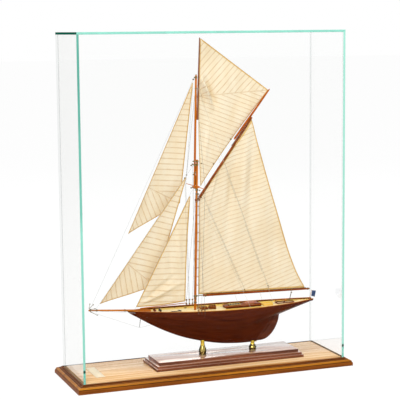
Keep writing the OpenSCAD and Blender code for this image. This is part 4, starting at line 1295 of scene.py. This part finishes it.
def blocks_and_halyards():
    """The lines down the mast and their blocks."""
    blocks, lines = Shape(), Shape()
    for place, size in MAST_BLOCKS:
        blocks.pulley(place, size)
    for line in HALYARDS:
        lines.tube(line, 0.22, 5)
    piece("mast_blocks", blocks, HULL, "deck_furniture", BLOCK_WOOD)
    piece("halyards", lines, HULL, "rigging_cord", CORD)


def lazy_jacks():
    """Two lines each side of the mainsail with dark tails at the boom, and blocks on the swinging spars."""
    blocks, lines = Shape(), Shape()
    for place, size in SAIL_BLOCKS:
        blocks.pulley(place, size)
    for y in (-4, 4):
        for a, b in (((47.6, y, 478.8), (156.2, y, 184)), ((-5.0, y, 407.7), (97.6, y, 179.5))):
            lines.tube([a, b], 0.2, 5)
        for a, b in (((156.2, y, 184), (158.6, y * 0.6, 171)), ((97.6, y, 179.5), (100, y * 0.6, 172))):
            lines.tube([a, b], 0.4, 5, 1)
    piece("aloft_blocks", blocks, RIG, "deck_furniture", BLOCK_WOOD)
    piece("lazy_jacks", lines, RIG, "rigging_cord", CORD, TARRED)


def tackles():
    """Short tackles and shackles at the bowsprit's end."""
    shape = Shape()
    for a, b in (((-270.5, 0, 163.2), (-260.6, 0, 171.2)), ((-268, 0, 156.4), (-252, 0, 147.2)),
                 ((-269.0, -3.0, 160.6), (-255, -6.4, 160.8)), ((-269.0, 3.0, 160.6), (-255, 6.4, 160.8)),
                 ((-270.5, 0, 163), (-268.4, 0, 173.5))):
        a, b = Vector(a), Vector(b)
        shape.tube([a, b], 0.42, 6)
        shape.pulley(b, 2.2, 1)
        shape.pulley(lerp(a, b, 0.15), 1.8, 1)
    piece("sprit_tackles", shape, HULL, "rigging_cord", BRONZE, BLOCK_WOOD)


def details():
    masts()
    jackyard()
    shrouds()
    mainsheet()
    anchor()
    tender()
    house_tops()
    pin_rail()
    house_trim()
    glazing_bars()
    rope_coils()
    handrails()
    tackles()
    blocks_and_halyards()
    lazy_jacks()
    # The boom's and the gaff's dark strips are painted shadow.
    spar_shadow_strip("boom_shadow_strip", (BOOM_FORE, BOOM_AFT), (0.02, 0.97), (2.7, 2.1), -1, 1.25)
    spar_shadow_strip("gaff_shadow_strip", (GAFF_THROAT, GAFF_PEAK), (0.04, 0.98), (2.65, 2.0), 1, 0.9)


# ---- Nodes that keep their CAD mesh ----
# The finish and the bevel in millimetres
CAD_FINISHES = {
    "baseboard": (OAK_CORE, 0), "floor_panel": (OAK_FLOOR, 0.3), "nameplate": (PLATE, 0.3),
    "plinth": (PLINTH, 0.5), "pedestal_screws": (STEEL, 0), "keel": (KEEL_WOOD, 0.4),
    "transom": (KEEL_WOOD, 0.3), "bulkheads": (OAK_CORE, 0), "deck": (DECK, 0),
    "rudder_gudgeons": (BRASS, 0.2), "rudder_stock": (KEEL_WOOD, 0), "tiller": (RAIL, 0.2),
    "bitts": (FURNITURE, 0.3), "windlass": (IRON, 0.2), "fore_hatch": (FURNITURE, 0.4),
    "fore_skylight": (FURNITURE, 0.4), "cabin_trunk": (FURNITURE, 0.4), "skylight": (PANE, 0.3),
    "companion": (FURNITURE, 0.3), "cockpit_coaming": (TRIM, 0.3), "helm_coaming": (FURNITURE, 0.3),
    "cleats": (IRON, 0.15), "ensign_staff": (RAIL, 0.1), "bowsprit": (SPAR_X, 0.5),
    "bowsprit_irons": (BRONZE, 0.2), "dolphin_striker": (IRON, 0.2), "mast_irons": (BRONZE, 0.2),
    "crosstrees": (SPAR, 0.2), "boom": (SPAR_RED, 0.5), "boom_irons": (BRONZE, 0.2),
    "gaff": (GAFF_RED, 0.4), "topsail_yard": (YARD, 0.3), "mast_hoops": (RAIL, 0),
    "club_boom": (SPAR_X, 0.2), "stays": (WIRE, 0), "running_rigging": (PALE_CORD, 0),
}


def polish_plinth_and_paint_top_reflection():
    """The plinth keeps its CAD mesh, with the flat top in a glossy finish of its own whose lighter colour is
    a painted reflection.
    """
    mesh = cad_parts["plinth"].data
    mesh.materials.append(PLINTH_TOP_PAINTED_REFLECTION)
    for polygon in mesh.polygons:
        polygon.material_index = 1 if polygon.normal.z > 0.95 else 0


make_camera()
make_floor()
make_studio()
for cad_node, (finish, edge) in CAD_FINISHES.items():
    dress(cad_node, finish, edge)
for glass_node in ("front_glass", "back_glass", "left_glass", "right_glass", "top_glass"):
    pane(glass_node)
polish_plinth_and_paint_top_reflection()
moulding()
planking(-1)
planking(1)
cap_rail()
waterways()
margin_planks()
rudder()
pedestals()
ensign()

MAINSAIL = Sail(
    luff=[(-13.2, 175), (-11.2, 280), (-9.2, 391)],
    leech=[(251.5, 169.8), (239, 191.5), (227.5, 214.5), (209, 262), (186.7, 334.5), (158, 427),
           (118.6, 566.4)],
    foot=[(-13.2, 175), (120, 172.5), (251.5, 169.8)], head=[(-9.2, 391), (118.6, 566.4)],
    panel=9.1, upper=(-0.317, 0.948), hollow=0.035, laced_foot=True, laced_head=True,
    folds=[((-4, 372), (34, 290), 4, -3.4), ((2, 386), (46, 326), 3.6, 3.0), ((38, 476), (8, 350), 4.5, -5.0),
           ((104, 548), (88, 280), 15, -11), ((80, 500), (58, 270), 10, 8), ((124, 530), (116, 320), 11, 7),
           ((-6, 360), (2, 190), 4, -2.6), ((140, 430), (152, 250), 17, -7), ((20, 330), (30, 200), 8, 3.5),
           ((170, 340), (190, 220), 12, 4)])
set_sail("mainsail_cloth", MAINSAIL, RIG, "mainsail", 90, 130)

TOPSAIL = Sail(
    luff=[(-6.2, 421), (-8.6, 500), (-9.2, 570), (-3.7, 749)],
    leech=[(159.4, 632), (78.4, 690.5), (-1.6, 748.6)],
    foot=[(-6.2, 421), (68.4, 518.4), (159.4, 632)], head=[(-3.7, 749), (-1.6, 748.6)],
    panel=9.4, upper=(-0.731, 0.682), lower=((0.35, 0.937), (-0.998, -0.06)), hollow=0.03,
    upper_panel=11.0,
    folds=[((-2, 662), (28, 590), 3.8, -15), ((7, 664), (37, 594), 4.6, 10), ((-6, 650), (12, 590), 3.6, 8),
           ((50, 690), (60, 560), 14, -4), ((96, 660), (90, 570), 12, 3.5), ((16, 560), (6, 460), 5, -3)])
set_sail("topsail_cloth", TOPSAIL, RIG, "topsail", 80, 130)

STAYSAIL_CUT = Sail(
    luff=[(-161.8, 157.8), (-97, 279), (-33, 399)], leech=[(-45.7, 161.6), (-40.5, 280), (-31.4, 399)],
    foot=[(-161.8, 157.8), (-104, 157.5), (-45.7, 161.6)], head=[(-33, 399), (-31.4, 399)],
    panel=12.6, upper=(0.053, 0.998), hollow=0.03, laced_foot=True,
    folds=[((-152, 163), (-46, 208), 3.6, -7.5), ((-148, 168), (-52, 232), 5, 6.0),
           ((-156, 160), (-52, 184), 3.2, 5.5), ((-60, 330), (-56, 200), 7, -5),
           ((-84, 290), (-70, 190), 8, 4)])
set_sail("staysail_cloth", STAYSAIL_CUT, STAYSAIL, "staysail", 50, 90)

JIB = Sail(
    luff=[(-245.2, 171.8), (-143, 307.5), (-41.8, 442.2)],
    leech=[(-112.5, 199.3), (-76, 320), (-40.2, 441.5)],
    foot=[(-245.2, 171.8), (-178, 183.5), (-112.5, 199.3)], head=[(-41.8, 442.2), (-40.2, 441.5)],
    panel=13.0, upper=(0.286, 0.958), lower=((-0.979, -0.203), (-0.76, 0.65)), lean=8, hollow=0.045)
set_sail("jib_cloth", JIB, HULL, "jib", 36, 70)

JIB_TOPSAIL = Sail(
    luff=[(-177.6, 323.5), (-100, 488), (-23.4, 651.9)], leech=[(-49.2, 383), (-36, 517), (-22, 651)],
    foot=[(-177.6, 323.5), (-113, 351), (-49.2, 383)], head=[(-23.4, 651.9), (-22, 651)],
    panel=12.4, upper=(0.1, 0.995), lower=((-0.907, -0.42), (-0.89, 0.46)), lean=10, hollow=0.045)
set_sail("jib_topsail_cloth", JIB_TOPSAIL, HULL, "jib_topsail", 36, 70)

details()
